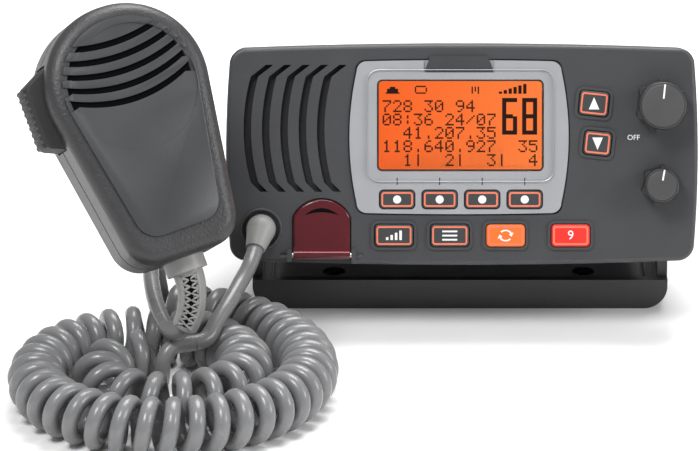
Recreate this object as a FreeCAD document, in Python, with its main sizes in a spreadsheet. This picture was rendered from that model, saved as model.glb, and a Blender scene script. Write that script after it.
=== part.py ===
import FreeCAD, Part
import math
import os

# A fixed-mount marine radio in its gimbal bracket, with its fist microphone and curly cord.
# Millimetres. The origin is the middle of the bracket's screw holes on its underside, +Z is up,
# and the radio faces -Y.
doc = FreeCAD.newDocument("marine_radio")
sheet = doc.addObject("Spreadsheet::Sheet", "sizes")
Vector = FreeCAD.Vector
Turn = FreeCAD.Rotation

driving_sizes = {
    # How the radio sits in its bracket
    "tilt": 18, "pivot_height": 55.7, "pivot_back": -23.1, "face_reach": 35,
    # Front cover
    "face_width": 170, "face_height": 79.6, "side_bulge": 1.3, "end_bulge": 1.5,
    "face_corner": 6, "cover_depth": 18, "cover_wall": 2.6, "face_edge": 1.5,
    # Display
    "bezel_width": 73.6, "bezel_height": 55.4, "bezel_x": -1.1, "bezel_y": 6.3,
    "bezel_bulge": 2.6, "bezel_corner": 3.6, "bezel_seat": 1.6, "bezel_proud": 0.9,
    "lens_width": 60, "lens_height": 33, "lens_y": 10.5, "lens_thick": 1.4, "lens_sunk": 0.7,
    "tab_width": 25, "tab_top": 19, "tab_height": 5.6, "tab_thick": 1.2,
    # Speaker
    "slot_count": 5, "slot_pitch": 6.6, "slot_width": 2.7, "slot_x": -76, "slot_top": 32.3,
    "slot_bottom": -13.4, "slot_kink": 4.2, "slot_bulge": 2.6, "mesh_thick": 0.8,
    "speaker_radius": 17, "speaker_depth": 14,
    # Keys
    "key_gap": 0.3, "key_travel": 0.9, "key_proud": 1.2, "key_flange": 0.8, "flange_thick": 1,
    "rim_width": 1, "rim_proud": 0.7, "key_corner": 1.8,
    "soft_key_width": 12.6, "soft_key_height": 6.6, "soft_key_pitch": 15.3, "soft_key_y": -16.1,
    "low_key_width": 13.9, "low_key_height": 8, "low_key_pitch": 20.1, "low_key_x": -24.5,
    "low_key_y": -29.1, "priority_key_x": 39.1,
    "up_key_x": 47.4, "up_key_y": 18.4, "up_key_width": 10.7, "up_key_height": 8.8,
    "down_key_x": 48.7, "down_key_y": 4.1, "down_key_width": 9.9, "down_key_height": 8.6,
    "key_lean": 6,
    # Control knobs
    "volume_x": 71.5, "volume_y": 18, "volume_radius": 8.5, "volume_tall": 12.5, "volume_lug": 1.9,
    "squelch_x": 71.3, "squelch_y": -10.6, "squelch_radius": 6.2, "squelch_tall": 11,
    "squelch_lug": 1.7, "lug_count": 6, "knob_lift": 0.5, "shaft_radius": 3, "shaft_gap": 0.05,
    "pot_depth": 8,
    # Distress key and its flap
    "flap_x": -50.5, "flap_width": 20.4, "flap_bottom": -38.4, "flap_straight": -22.4,
    "flap_thick": 2.7, "flap_gap": 0.5, "flap_pin": 0.9, "flap_wall": 1.4,
    "distress_width": 11, "distress_height": 7, "distress_y": -28,
    # Cord boot on the face
    "boot_x": -72.3, "boot_y": -26.8, "recess_radius": 6.6, "boot_radius": 5.3, "boot_tall": 9,
    # Housing, boards and fittings behind the face
    "housing_top": 34, "housing_bottom": -33, "housing_rear": -70,
    "housing_tail": -24, "housing_bend": -22, "housing_wall": 2.6, "gasket_thick": 1,
    "sink_width": 92, "sink_x": -14, "sink_base": 4, "sink_depth": 18, "sink_top": 30,
    "sink_bottom": -8, "fin_count": 14, "fin_thick": 1.8,
    "board_thick": 1.6, "socket_x": 48, "socket_y": 14, "socket_radius": 7.94,
    "socket_long": 14, "socket_flange": 12.5, "lead_x": 46, "lead_y": -12, "lead_radius": 5.5,
    "lead_long": 9, "lead_pitch": 14, "insert_radius": 5, "insert_depth": 8,
    # Bracket
    "bracket_width": 152, "bracket_front": -39.1, "bracket_depth": 58, "arm_wall": 3.6,
    "floor_thick": 4, "lip_height": 11.2, "lip_thick": 3.4, "bracket_corner": 8.6,
    "arm_round": 12, "arm_base": 46, "screw_pitch": 92.4, "screw_row": 24, "screw_bore": 4.6,
    "screw_head": 8.4, "head_sink": 1.6, "bolt_radius": 3, "bolt_gap": 0.06,
    "washer_radius": 10, "washer_thick": 5.4, "washer_gap": 0.05, "pivot_knob_radius": 12, "pivot_knob_thick": 7.4,
    "pivot_flutes": 16, "flute_radius": 1.5,
    # Curly cord
    "wire": 5.8, "curl_radius": 7.8, "ring_x": -108, "ring_y": -127.4, "ring_outer": 58.8,
    "ring_pitch": 22.6, "ring_laps": 2.12, "curl_gap": 0.75, "cord_sides": 6,
    # Microphone
    "mic_x": -100, "mic_y": -119.5, "mic_z": 29.5, "mic_lean": 12.8, "mic_back": 28, "mic_yaw": 17,
    "mic_head": 34.5, "mic_foot": 19.6, "mic_long": 90, "mic_thick": 15,
    "mic_round": 5, "panel_inset": 4.5, "panel_sink": 1, "mic_slots": 5, "mic_slot_pitch": 4.4,
    "mic_slot_width": 2, "ptt_long": 31, "ptt_proud": 4.6, "ptt_thick": 13, "ptt_y": 66,
    "ptt_travel": 1.8, "mic_boot_long": 20, "mic_boot_radius": 5.4, "collar_radius": 7.4,
    "collar_long": 5, "mic_lift": 40, "stud_radius": 5.2, "stud_neck": 2.4,
}
for row, (alias, number) in enumerate(driving_sizes.items(), start=1):
    sheet.set(f"A{row}", alias)
    sheet.set(f"B{row}", str(number))
    sheet.setAlias(f"B{row}", alias)
doc.recompute()
# The housing fills the bracket but for a washer each side
worked_row = len(driving_sizes) + 1
sheet.set(f"A{worked_row}", "housing_width")
sheet.set(f"B{worked_row}", "=bracket_width - 2 * (arm_wall + washer_thick)")
sheet.setAlias(f"B{worked_row}", "housing_width")
doc.recompute()


def size(alias):
    """The number that the sheet holds under a name."""
    return float(getattr(sheet, alias))


def bind(thing, **formulas):
    """Tie properties of an object to formulas on the sheet."""
    for key, formula in formulas.items():
        thing.setExpression(key.replace("__", "."), formula)
    return thing


# Places shared by several pieces, measured out of the face from the pivot axis
face_top = size("face_reach")
wall_back = face_top - size("cover_wall")
cover_back = face_top - size("cover_depth")
seat_floor = face_top - size("bezel_seat")
flange_top = wall_back - size("shaft_gap")
flange_under = flange_top - size("flange_thick")
mat_top = flange_under - size("key_travel") - size("shaft_gap")
mat_thick = 1.6
board_top = mat_top - mat_thick


def radio_place():
    """The tilted frame of the radio: X along the pivots, Y up the face, Z out of it."""
    return FreeCAD.Placement(Vector(0, size("pivot_back"), size("pivot_height")),
                             Turn(Vector(1, 0, 0), 90 - size("tilt")))


def on_radio(piece):
    """Stand a finished piece of the radio in its bracket."""
    piece.Placement = radio_place()
    return bind(piece, Placement__Base__y="sizes.pivot_back",
                Placement__Base__z="sizes.pivot_height",
                Placement__Rotation__Angle="90 - sizes.tilt")


def loop(corners, radius=0.0):
    """Edges of a closed outline through corners, each one rounded by a tangent arc."""
    count = len(corners)
    radii = radius if isinstance(radius, (list, tuple)) else [radius] * count
    starts, ends, edges = [], [], []
    for i, corner in enumerate(corners):
        here = Vector(*corner, 0)
        before = (Vector(*corners[i - 1], 0) - here).normalize()
        after = (Vector(*corners[(i + 1) % count], 0) - here).normalize()
        half = before.getAngle(after) / 2
        reach = radii[i] / math.tan(half) if radii[i] else 0.0
        starts.append(here + before * reach)
        ends.append(here + after * reach)
        if reach:
            inward = (before + after).normalize()
            middle = here + inward * (radii[i] / math.sin(half) - radii[i])
            edges.append(Part.Arc(starts[i], middle, ends[i]))
    for i in range(count):
        if (starts[(i + 1) % count] - ends[i]).Length > 1e-6:
            edges.append(Part.LineSegment(ends[i], starts[(i + 1) % count]))
    return edges


def pillow(width, height, side, end, corner, x=0.0, y=0.0):
    """Edges of a rectangle whose four sides bow outwards and whose corners are round."""
    right, top = width / 2 - side, height / 2 - end
    nick = corner * (1 - math.sqrt(0.5))
    spots = []
    for across, up in ((1, 1), (-1, 1), (-1, -1), (1, -1)):
        spots.append([Vector(x + across * right, y + up * (top - corner), 0),
                      Vector(x + across * (right - nick), y + up * (top - nick), 0),
                      Vector(x + across * (right - corner), y + up * top, 0)])
    upper_right, upper_left, lower_left, lower_right = spots
    return [Part.Arc(*upper_right), Part.Arc(upper_right[2], Vector(x, y + height / 2, 0), upper_left[2]),
            Part.Arc(*upper_left), Part.Arc(upper_left[0], Vector(x - width / 2, y, 0), lower_left[0]),
            Part.Arc(*lower_left), Part.Arc(lower_left[2], Vector(x, y - height / 2, 0), lower_right[2]),
            Part.Arc(*lower_right), Part.Arc(lower_right[0], Vector(x + width / 2, y, 0), upper_right[0])]


def oblong(width, height, corner, x=0.0, y=0.0, lean=0.0):
    """Edges of a rectangle with round corners, leaning by some degrees."""
    swing = math.radians(lean)
    corners = []
    for across, up in ((1, 1), (-1, 1), (-1, -1), (1, -1)):
        along, rise = across * width / 2, up * height / 2
        corners.append((x + along * math.cos(swing) - rise * math.sin(swing),
                        y + along * math.sin(swing) + rise * math.cos(swing)))
    return loop(corners, corner)


def circle(radius, x=0.0, y=0.0):
    """A round outline."""
    return [Part.Circle(Vector(x, y, 0), Vector(0, 0, 1), radius)]


def make_body(label):
    body = doc.addObject("PartDesign::Body", label)
    body.Label = label
    return body


def sketch_on(body, outline, height=0.0, plane="XY_Plane"):
    """A sketch on one of the body's own planes, moved along that plane's normal."""
    sketch = body.newObject("Sketcher::SketchObject", body.Name + "_outline")
    flat = [part for part in body.Origin.OriginFeatures if part.Role == plane][0]
    sketch.AttachmentSupport = (flat, [""])
    sketch.MapMode = "FlatFace"
    sketch.AttachmentOffset = FreeCAD.Placement(Vector(0, 0, height), Turn())
    sketch.addGeometry(outline, False)
    return sketch


def feature(body, kind, outline, height, depth, plane="XY_Plane", back=False):
    """Pad or pocket an outline; depth is a formula on the sheet or a plain length."""
    sketch = sketch_on(body, outline, height, plane)
    made = body.newObject("PartDesign::" + kind, body.Name + "_" + kind.lower())
    made.Profile = sketch
    made.Reversed = back
    if isinstance(depth, str):
        made.setExpression("Length", depth)
    else:
        made.Length = depth
    body.Tip = made
    sketch.Visibility = False
    return made


def pad(body, outline, height, depth, **how):
    return feature(body, "Pad", outline, height, depth, **how)


def pocket(body, outline, height, depth, **how):
    return feature(body, "Pocket", outline, height, depth, **how)


def round_edges(body, radius, wanted):
    """Fillet the edges of the body's tip that a test picks out."""
    doc.recompute()
    base = body.Tip
    names = [f"Edge{i}" for i, edge in enumerate(base.Shape.Edges, start=1) if wanted(edge)]
    fillet = body.newObject("PartDesign::Fillet", body.Name + "_fillet")
    fillet.Base = (base, names)
    fillet.setExpression("Radius", radius) if isinstance(radius, str) else setattr(fillet, "Radius", radius)
    body.Tip = fillet
    return fillet


def at_height(height):
    """A test for edges that lie level at one height."""
    def test(edge):
        box = edge.BoundBox
        return abs(box.ZMin - height) < 1e-4 and abs(box.ZMax - height) < 1e-4
    return test


def keep(label, shape, place=None):
    """A piece whose shape is worked out here from the sheet's sizes."""
    piece = doc.addObject("Part::Feature", label)
    piece.Label = label
    piece.Shape = shape
    if place is not None:
        piece.Placement = place
    return piece


pieces = []

# Keys: name, width, height, x, y, lean, through the display or not
key_list = [(f"soft_key_{i + 1}", "soft_key_width", "soft_key_height",
             size("bezel_x") + (i - 1.5) * size("soft_key_pitch") + 0.7, size("soft_key_y"), 0.0)
            for i in range(4)]
key_list += [(name, "low_key_width", "low_key_height", size("low_key_x") + i * size("low_key_pitch"),
              size("low_key_y"), 0.0) for i, name in enumerate(("power_level_key", "menu_key", "recall_key"))]
key_list += [("priority_key", "low_key_width", "low_key_height", size("priority_key_x"), size("low_key_y"), 0.0),
             ("channel_up_key", "up_key_width", "up_key_height", size("up_key_x"), size("up_key_y"),
              -size("key_lean")),
             ("channel_down_key", "down_key_width", "down_key_height", size("down_key_x"),
              size("down_key_y"), -size("key_lean"))]


def bezel_outline(gap=0.0):
    return pillow(size("bezel_width") + 2 * size("bezel_bulge") + 2 * gap, size("bezel_height") + 2 * gap,
                  size("bezel_bulge"), 0.4, size("bezel_corner"), size("bezel_x"), size("bezel_y"))


def flap_outline(gap=0.0, below=0.0):
    """The flap's outline: straight sides under an arched top, run on below for its recess."""
    half = size("flap_width") / 2 + gap
    x, foot, shoulder = size("flap_x"), size("flap_bottom") - below, size("flap_straight")
    crown = shoulder + 6.3 + gap
    return [Part.LineSegment(Vector(x - half, shoulder, 0), Vector(x - half, foot, 0)),
            Part.LineSegment(Vector(x - half, foot, 0), Vector(x + half, foot, 0)),
            Part.LineSegment(Vector(x + half, foot, 0), Vector(x + half, shoulder, 0)),
            Part.Arc(Vector(x + half, shoulder, 0), Vector(x, crown, 0), Vector(x - half, shoulder, 0))]


def speaker_slot(i):
    """One bowed slot of the speaker grille with its kinked ends."""
    left = size("slot_x") + i * size("slot_pitch")
    high, low, kink = size("slot_top"), size("slot_bottom"), size("slot_kink")
    belly, middle = left - size("slot_bulge"), (high + low) / 2
    wide = size("slot_width")
    reach = kink * 1.3
    edges = [Part.LineSegment(Vector(left + reach + wide, high, 0), Vector(left + reach, high, 0)),
             Part.LineSegment(Vector(left + reach, high, 0), Vector(left, high - kink, 0)),
             Part.Arc(Vector(left, high - kink, 0), Vector(belly, middle, 0), Vector(left, low + kink * 0.8, 0)),
             Part.LineSegment(Vector(left, low + kink * 0.8, 0), Vector(left + kink * 0.8, low, 0)),
             Part.LineSegment(Vector(left + kink * 0.8, low, 0), Vector(left + kink * 0.8 + wide, low, 0)),
             Part.LineSegment(Vector(left + kink * 0.8 + wide, low, 0),
                              Vector(left + wide, low + kink * 0.8, 0)),
             Part.Arc(Vector(left + wide, low + kink * 0.8, 0), Vector(belly + wide, middle, 0),
                      Vector(left + wide, high - kink, 0)),
             Part.LineSegment(Vector(left + wide, high - kink, 0), Vector(left + reach + wide, high, 0))]
    return edges


def cover_outline(inset=0.0):
    return pillow(size("face_width") - 2 * inset, size("face_height") - 2 * inset, size("side_bulge"),
                  size("end_bulge"), size("face_corner") - inset * 0.7)


def make_front_cover():
    body = make_body("front_cover")
    wall, through = size("cover_wall"), size("cover_wall") + size("rim_proud") + 1
    pad(body, cover_outline(), cover_back, "sizes.cover_depth")
    round_edges(body, "sizes.face_edge", at_height(face_top))
    pocket(body, cover_outline(wall), cover_back, "sizes.cover_depth - sizes.cover_wall", back=True)
    for name, width, height, x, y, lean in key_list:
        if not name.startswith("soft"):
            edge = 2 * (size("rim_width") + size("key_gap"))
            pad(body, oblong(size(width) + edge, size(height) + edge, size("key_corner") + 0.8, x, y, lean),
                face_top - 0.2, "sizes.rim_proud + 0.2")
    pocket(body, bezel_outline(0.5), face_top + 1, "sizes.bezel_seat + 1")
    pocket(body, oblong(size("lens_width") - 1, size("lens_height") - 1, 2, size("bezel_x") + 0.5,
                        size("lens_y")), face_top + 1, through)
    for name, width, height, x, y, lean in key_list:
        gap = 2 * size("key_gap")
        pocket(body, oblong(size(width) + gap, size(height) + gap, size("key_corner"), x, y, lean),
               face_top + 1, through)
    for name in ("volume", "squelch"):
        pocket(body, circle(size("shaft_radius") + size("shaft_gap"), size(name + "_x"), size(name + "_y")),
               face_top + 1, through)
    pocket(body, circle(size("recess_radius"), size("boot_x"), size("boot_y")), face_top + 1, through)
    for i in range(int(size("slot_count"))):
        pocket(body, speaker_slot(i), face_top + 1, through)
    pocket(body, flap_outline(size("flap_gap"), 5), face_top + 1, "sizes.bezel_seat + 1")
    pocket(body, oblong(size("distress_width") + 2 * size("key_gap"), size("distress_height")
                        + 2 * size("key_gap"), 1.5, size("flap_x"), size("distress_y")), face_top + 1, through)
    # Two ears carry the flap's hinge pin just past the flap's sides
    for side in (-1, 1):
        ear_x = size("flap_x") + side * (size("flap_width") / 2 + size("flap_gap") + 0.9)
        pad(body, oblong(1.8, 4.4, 0.6, ear_x, hinge_y), seat_floor, face_top + hinge_rise + 1.5 - seat_floor)
    pocket(body, circle(size("flap_pin"), hinge_y, hinge_z), size("flap_x") + 15, 30, plane="YZ_Plane")
    return on_radio(body)


hinge_y = size("flap_bottom") + 2.2
hinge_rise = 0.5
hinge_z = face_top + hinge_rise
pieces.append(make_front_cover())


def make_key(name, width, height, x, y, lean):
    body = make_body(name)
    flange = 2 * size("key_flange")
    corner = size("key_corner") - size("key_gap")
    crown = face_top + size("key_proud")
    pad(body, oblong(width + flange, height + flange, corner, x, y, lean), flange_under, "sizes.flange_thick")
    pad(body, oblong(width, height, corner, x, y, lean), flange_top, crown - flange_top)
    round_edges(body, 0.7, at_height(crown))
    return on_radio(body)


for name, width, height, x, y, lean in key_list:
    pieces.append(make_key(name, size(width), size(height), x, y, lean))


def make_distress_button():
    body = make_body("distress_button")
    wide, tall, crown = size("distress_width"), size("distress_height"), face_top - 0.5
    flange = 2 * size("key_flange")
    pad(body, oblong(wide + flange, tall + flange, 1.4, size("flap_x"), size("distress_y")), flange_under,
        "sizes.flange_thick")
    pad(body, oblong(wide, tall, 1.4, size("flap_x"), size("distress_y")), flange_top, crown - flange_top)
    round_edges(body, 0.5, at_height(crown))
    return on_radio(body)


def make_flap():
    """The clear red flap over the distress button, hollow underneath."""
    body = make_body("distress_cover")
    under = seat_floor + 0.1
    top = under + size("flap_thick")
    x, half = size("flap_x"), size("flap_width") / 2
    pad(body, flap_outline(), under, "sizes.flap_thick")
    round_edges(body, 0.8, lambda edge: at_height(top)(edge) and edge.BoundBox.YMax > size("flap_straight") - 1)
    pocket(body, oblong(size("flap_width") - 2 * size("flap_wall"), 13, 1.5, x, size("flap_straight") - 4.5),
           under, "sizes.flap_thick - sizes.flap_wall", back=True)
    # The foot is a barrel round the hinge pin
    pocket(body, oblong(size("flap_width") + 2, 4.4, 0.3, x, hinge_y - 0.8), under, size("flap_thick"), back=True)
    barrel = [Part.Circle(Vector(hinge_y, hinge_z, 0), Vector(0, 0, 1), 1.5)]
    pad(body, barrel, x - half, "sizes.flap_width", plane="YZ_Plane")
    pad(body, oblong(size("flap_width"), 2.2, 0.2, x, hinge_y + 1.6), hinge_z - 0.9, top - hinge_z + 0.9)
    pocket(body, circle(size("flap_pin") + size("shaft_gap"), hinge_y, hinge_z), x + half + 1,
           size("flap_width") + 2, plane="YZ_Plane")
    return on_radio(body)


def make_hinge_pin():
    pin = doc.addObject("Part::Cylinder", "distress_hinge_pin")
    bind(pin, Radius="sizes.flap_pin", Height="sizes.flap_width + 2 * sizes.flap_gap + 3.6")
    reach = size("flap_width") / 2 + size("flap_gap") + 1.8
    pin.Placement = radio_place().multiply(FreeCAD.Placement(
        Vector(size("flap_x") - reach, hinge_y, hinge_z), Turn(Vector(0, 1, 0), 90)))
    return pin


pieces += [make_distress_button(), make_flap(), make_hinge_pin()]


def make_display():
    bezel = make_body("display_bezel")
    top = face_top + size("bezel_proud")
    x, lens_x = size("bezel_x"), size("bezel_x") + 0.5
    pad(bezel, bezel_outline(), seat_floor, "sizes.bezel_seat + sizes.bezel_proud")
    pocket(bezel, oblong(size("lens_width") + 0.1, size("lens_height") + 0.1, 2, lens_x, size("lens_y")),
           top + 1, 8)
    tab = size("tab_width") / 2
    notch = [(x - tab - 0.2, size("tab_top") + 20), (x - tab - 0.2, size("bezel_y") + size("bezel_height") / 2 - 4.4),
             (x + tab + 0.2, size("bezel_y") + size("bezel_height") / 2 - 4.4), (x + tab + 0.2, size("tab_top") + 20)]
    pocket(bezel, loop(notch), top + 1, "sizes.tab_thick + 1")
    for name, width, height, key_x, key_y, lean in key_list[:4]:
        gap = 2 * size("key_gap")
        pocket(bezel, oblong(size(width) + gap, size(height) + gap, size("key_corner"), key_x, key_y), top + 1, 8)
    tab_y = size("bezel_y") + size("bezel_height") / 2 - 4.2
    plate = make_body("blank_tab")
    pad(plate, loop([(x - tab, tab_y), (x + tab, tab_y), (x + tab - 2.2, tab_y + size("tab_height")),
                     (x - tab + 2.2, tab_y + size("tab_height"))], 0.6), face_top, "sizes.tab_thick")
    lens = make_body("display_lens")
    lens_under = top - size("lens_sunk") - size("lens_thick")
    pad(lens, oblong(size("lens_width"), size("lens_height"), 1.95, lens_x, size("lens_y")), lens_under,
        "sizes.lens_thick")
    module = make_body("lcd_module")
    pad(module, oblong(size("lens_width") - 1.4, size("lens_height") - 1.4, 1, lens_x, size("lens_y")), board_top,
        lens_under - board_top)
    return [on_radio(body) for body in (bezel, plate, lens, module)]


pieces += make_display()


def make_knob(name, sides):
    """A control knob with grip lugs, on the spindle that passes through the cover."""
    body = make_body(name + "_knob")
    x, y, radius = size(name + "_x"), size(name + "_y"), size(name + "_radius")
    lug, tall = size(name + "_lug"), size(name + "_tall")
    foot = face_top + size("knob_lift")
    pad(body, circle(radius), 0, f"sizes.{name}_tall - sizes.knob_lift")
    petal = pad(body, circle(lug, radius - lug + lug * 0.62, 0), 0, tall - size("knob_lift") - 1)
    around = body.newObject("PartDesign::PolarPattern", name + "_lugs")
    around.Originals = [petal]
    around.Axis = ([part for part in body.Origin.OriginFeatures if part.Role == "Z_Axis"][0], [""])
    around.Angle = 360
    around.setExpression("Occurrences", "sizes.lug_count")
    body.Tip = around
    round_edges(body, 0.8, at_height(tall - size("knob_lift")))
    pad(body, circle(size("shaft_radius")), 0, size("knob_lift") + size("cover_wall") + size("pot_depth") - 1,
        back=True)
    body.Placement = radio_place().multiply(FreeCAD.Placement(Vector(x, y, foot), Turn(Vector(0, 0, 1), sides)))
    pot = doc.addObject("Part::Cut", name + "_pot")
    can = doc.addObject("Part::Cylinder", name + "_can")
    bore = doc.addObject("Part::Cylinder", name + "_bore")
    bind(can, Radius=f"sizes.{name}_radius * 0.8", Height="sizes.pot_depth")
    bind(bore, Radius="sizes.shaft_radius + sizes.shaft_gap", Height="sizes.pot_depth")
    bore.Placement.Base = Vector(0, 0, 0.5)
    pot.Base, pot.Tool = can, bore
    pot.Placement = radio_place().multiply(FreeCAD.Placement(Vector(x, y, wall_back - size("pot_depth")), Turn()))
    return [body, pot]


pieces += make_knob("volume", 84) + make_knob("squelch", 80)


def make_speaker():
    mesh = make_body("speaker_mesh")
    x = size("slot_x") + size("slot_pitch") * 2 + 2.4
    y = (size("slot_top") + size("slot_bottom")) / 2
    pad(mesh, oblong(39, size("slot_top") - size("slot_bottom") + 3, 2, x + 0.6, y), wall_back - size("mesh_thick"),
        "sizes.mesh_thick")
    speaker = make_body("speaker")
    rear, front = wall_back - size("mesh_thick") - size("speaker_depth"), wall_back - size("mesh_thick")
    rim = size("speaker_radius")
    profile = loop([(0, rear), (rim * 0.55, rear), (rim * 0.55, rear + 5), (rim - 1, front - 3), (rim, front - 3),
                    (rim, front), (rim - 2, front), (rim * 0.45, front - 5), (0, front - 4)])
    outline = sketch_on(speaker, profile, 0, "XZ_Plane")
    spun = speaker.newObject("PartDesign::Revolution", "speaker_turned")
    spun.Profile = outline
    spun.ReferenceAxis = (outline, ["V_Axis"])
    spun.Angle = 360
    speaker.Tip = spun
    speaker.Placement = radio_place().multiply(FreeCAD.Placement(Vector(x, y, 0), Turn()))
    return [on_radio(mesh), speaker]


pieces += make_speaker()


def make_inside():
    """Rubber key mat, boards and the gland behind the face."""
    mat = make_body("keypad_membrane")
    board = make_body("keypad_board")
    left, right, top, foot = -40, 58, 30, -36
    outline = loop([(left, foot), (right, foot), (right, top), (left, top)], 2)
    pad(mat, outline, board_top, mat_thick)
    pocket(mat, oblong(size("lens_width") - 0.6, size("lens_height") - 0.6, 1, size("bezel_x") + 0.5, size("lens_y")),
           mat_top + 1, mat_thick + 2)
    pad(mat, oblong(23, 12, 1, left - 10, size("distress_y")), board_top, mat_thick)
    pad(board, outline, board_top - size("board_thick"), "sizes.board_thick")
    pad(board, oblong(23, 12, 1, left - 10, size("distress_y")), board_top - size("board_thick"), "sizes.board_thick")
    main = make_body("main_circuit_board")
    inner = size("housing_width") - 2 * size("housing_wall") - 0.4
    pad(main, oblong(inner, size("board_thick"), 0, 0, -14), size("housing_rear") + size("housing_wall") + 2,
        "-sizes.housing_rear + sizes.face_reach - sizes.cover_depth - 8")
    gland = make_body("cord_gland")
    x, y = size("boot_x"), size("boot_y")
    pad(gland, circle(size("recess_radius") - 0.05, x, y), wall_back - 2, size("cover_wall") + 1.2)
    pad(gland, circle(size("recess_radius") + 1.5, x, y), wall_back - 2, 1.95)
    return [on_radio(body) for body in (mat, board, main, gland)]


pieces += make_inside()


def make_housing():
    body = make_body("rear_housing")
    half, wall = size("housing_width") / 2, size("housing_wall")
    front = cover_back - size("gasket_thick")
    flange = 2.4
    rear, bend = size("housing_rear"), size("housing_bend")
    top, foot, tail = size("housing_top"), size("housing_bottom"), size("housing_tail")
    side = [(foot, front), (foot, bend), (tail, rear), (top - 3, rear), (top, rear + 8), (top, front)]
    pad(body, loop(side), -half, "sizes.housing_width", plane="YZ_Plane")
    lie = "sizes.housing_width - 2 * sizes.housing_wall"
    inner = [(foot + wall, front + 1), (foot + wall, bend), (tail + wall, rear + wall), (top - 3 - wall, rear + wall),
             (top - wall, rear + 8), (top - wall, front + 1)]
    pad(body, cover_outline(0.8), front - flange, flange)
    pocket(body, loop(inner), half - wall, lie, plane="YZ_Plane")
    pocket(body, circle(size("insert_radius"), 0, 0), half + 1, "sizes.housing_width + 2", plane="YZ_Plane")
    pocket(body, circle(size("socket_radius") - 1, size("socket_x"), size("socket_y")), rear + wall + 1, wall + 2)
    for i in range(2):
        lead_x = size("lead_x") + (i - 0.5) * size("lead_pitch")
        pocket(body, circle(size("lead_radius") - 1.5, lead_x, size("lead_y")), rear + wall + 1, wall + 2)
    gasket = make_body("face_gasket")
    pad(gasket, cover_outline(0.8), front, "sizes.gasket_thick")
    pocket(gasket, cover_outline(3), front + 2, "sizes.gasket_thick + 3")
    return [on_radio(body), on_radio(gasket)]


pieces += make_housing()


def make_rear_fittings():
    """Finned heat sink, aerial socket, lead glands and threaded pivot inserts."""
    rear = size("housing_rear")
    sink = make_body("heat_sink")
    high, wide = size("sink_top") - size("sink_bottom"), size("sink_width")
    x, y = size("sink_x"), (size("sink_top") + size("sink_bottom")) / 2
    pad(sink, oblong(wide, high, 1.5, x, y), rear, "sizes.sink_base", back=True)
    count, thick = int(size("fin_count")), size("fin_thick")
    pitch = (wide - thick) / (count - 1)
    fins = []
    for i in range(count):
        fin_x = x - wide / 2 + thick / 2 + i * pitch
        fins += oblong(thick, high - 1, 0.6, fin_x, y)
    pad(sink, fins, rear - size("sink_base"), "sizes.sink_depth - sizes.sink_base", back=True)
    socket = make_body("antenna_socket")
    sx, sy = size("socket_x"), size("socket_y")
    pad(socket, oblong(2 * size("socket_flange"), 2 * size("socket_flange"), 2, sx, sy), rear, 1.6, back=True)
    pad(socket, circle(size("socket_radius"), sx, sy), rear, "sizes.socket_long", back=True)
    pad(socket, circle(size("socket_radius") - 1.05, sx, sy), rear, size("housing_wall"))
    pocket(socket, circle(5.6, sx, sy), rear - size("socket_long") - 1, 10, back=True)
    pad(socket, circle(1.6, sx, sy), rear - size("socket_long") + 2, 9)
    leads = []
    for i, label in enumerate(("power_lead_gland", "data_lead_gland")):
        gland = make_body(label)
        gx = size("lead_x") + (i - 0.5) * size("lead_pitch")
        pad(gland, loop([(gx + size("lead_radius") * math.cos(math.radians(60 * n)),
                          size("lead_y") + size("lead_radius") * math.sin(math.radians(60 * n)))
                         for n in range(6)], 0.4), rear, 4, back=True)
        pad(gland, circle(size("lead_radius") - 1.2, gx, size("lead_y")), rear, "sizes.lead_long", back=True)
        pad(gland, circle(size("lead_radius") - 1.55, gx, size("lead_y")), rear, size("housing_wall"))
        pocket(gland, circle(2, gx, size("lead_y")), rear - size("lead_long") - 1, 7, back=True)
        leads.append(on_radio(gland))
    inserts = []
    for side, label in ((-1, "left_pivot_insert"), (1, "right_pivot_insert")):
        insert = make_body(label)
        half = size("housing_width") / 2
        start = half - size("insert_depth") if side > 0 else -half
        pad(insert, circle(size("insert_radius"), 0, 0), start, "sizes.insert_depth", plane="YZ_Plane")
        flange_x = half - size("housing_wall") - 1.5 if side > 0 else -half + size("housing_wall")
        pad(insert, circle(size("insert_radius") + 2, 0, 0), flange_x, 1.5, plane="YZ_Plane")
        pocket(insert, circle(size("bolt_radius") + size("bolt_gap")), start + size("insert_depth") + 1,
               "sizes.insert_depth + 2", plane="YZ_Plane")
        inserts.append(on_radio(insert))
    return [on_radio(sink), on_radio(socket)] + leads + inserts


pieces += make_rear_fittings()


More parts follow.
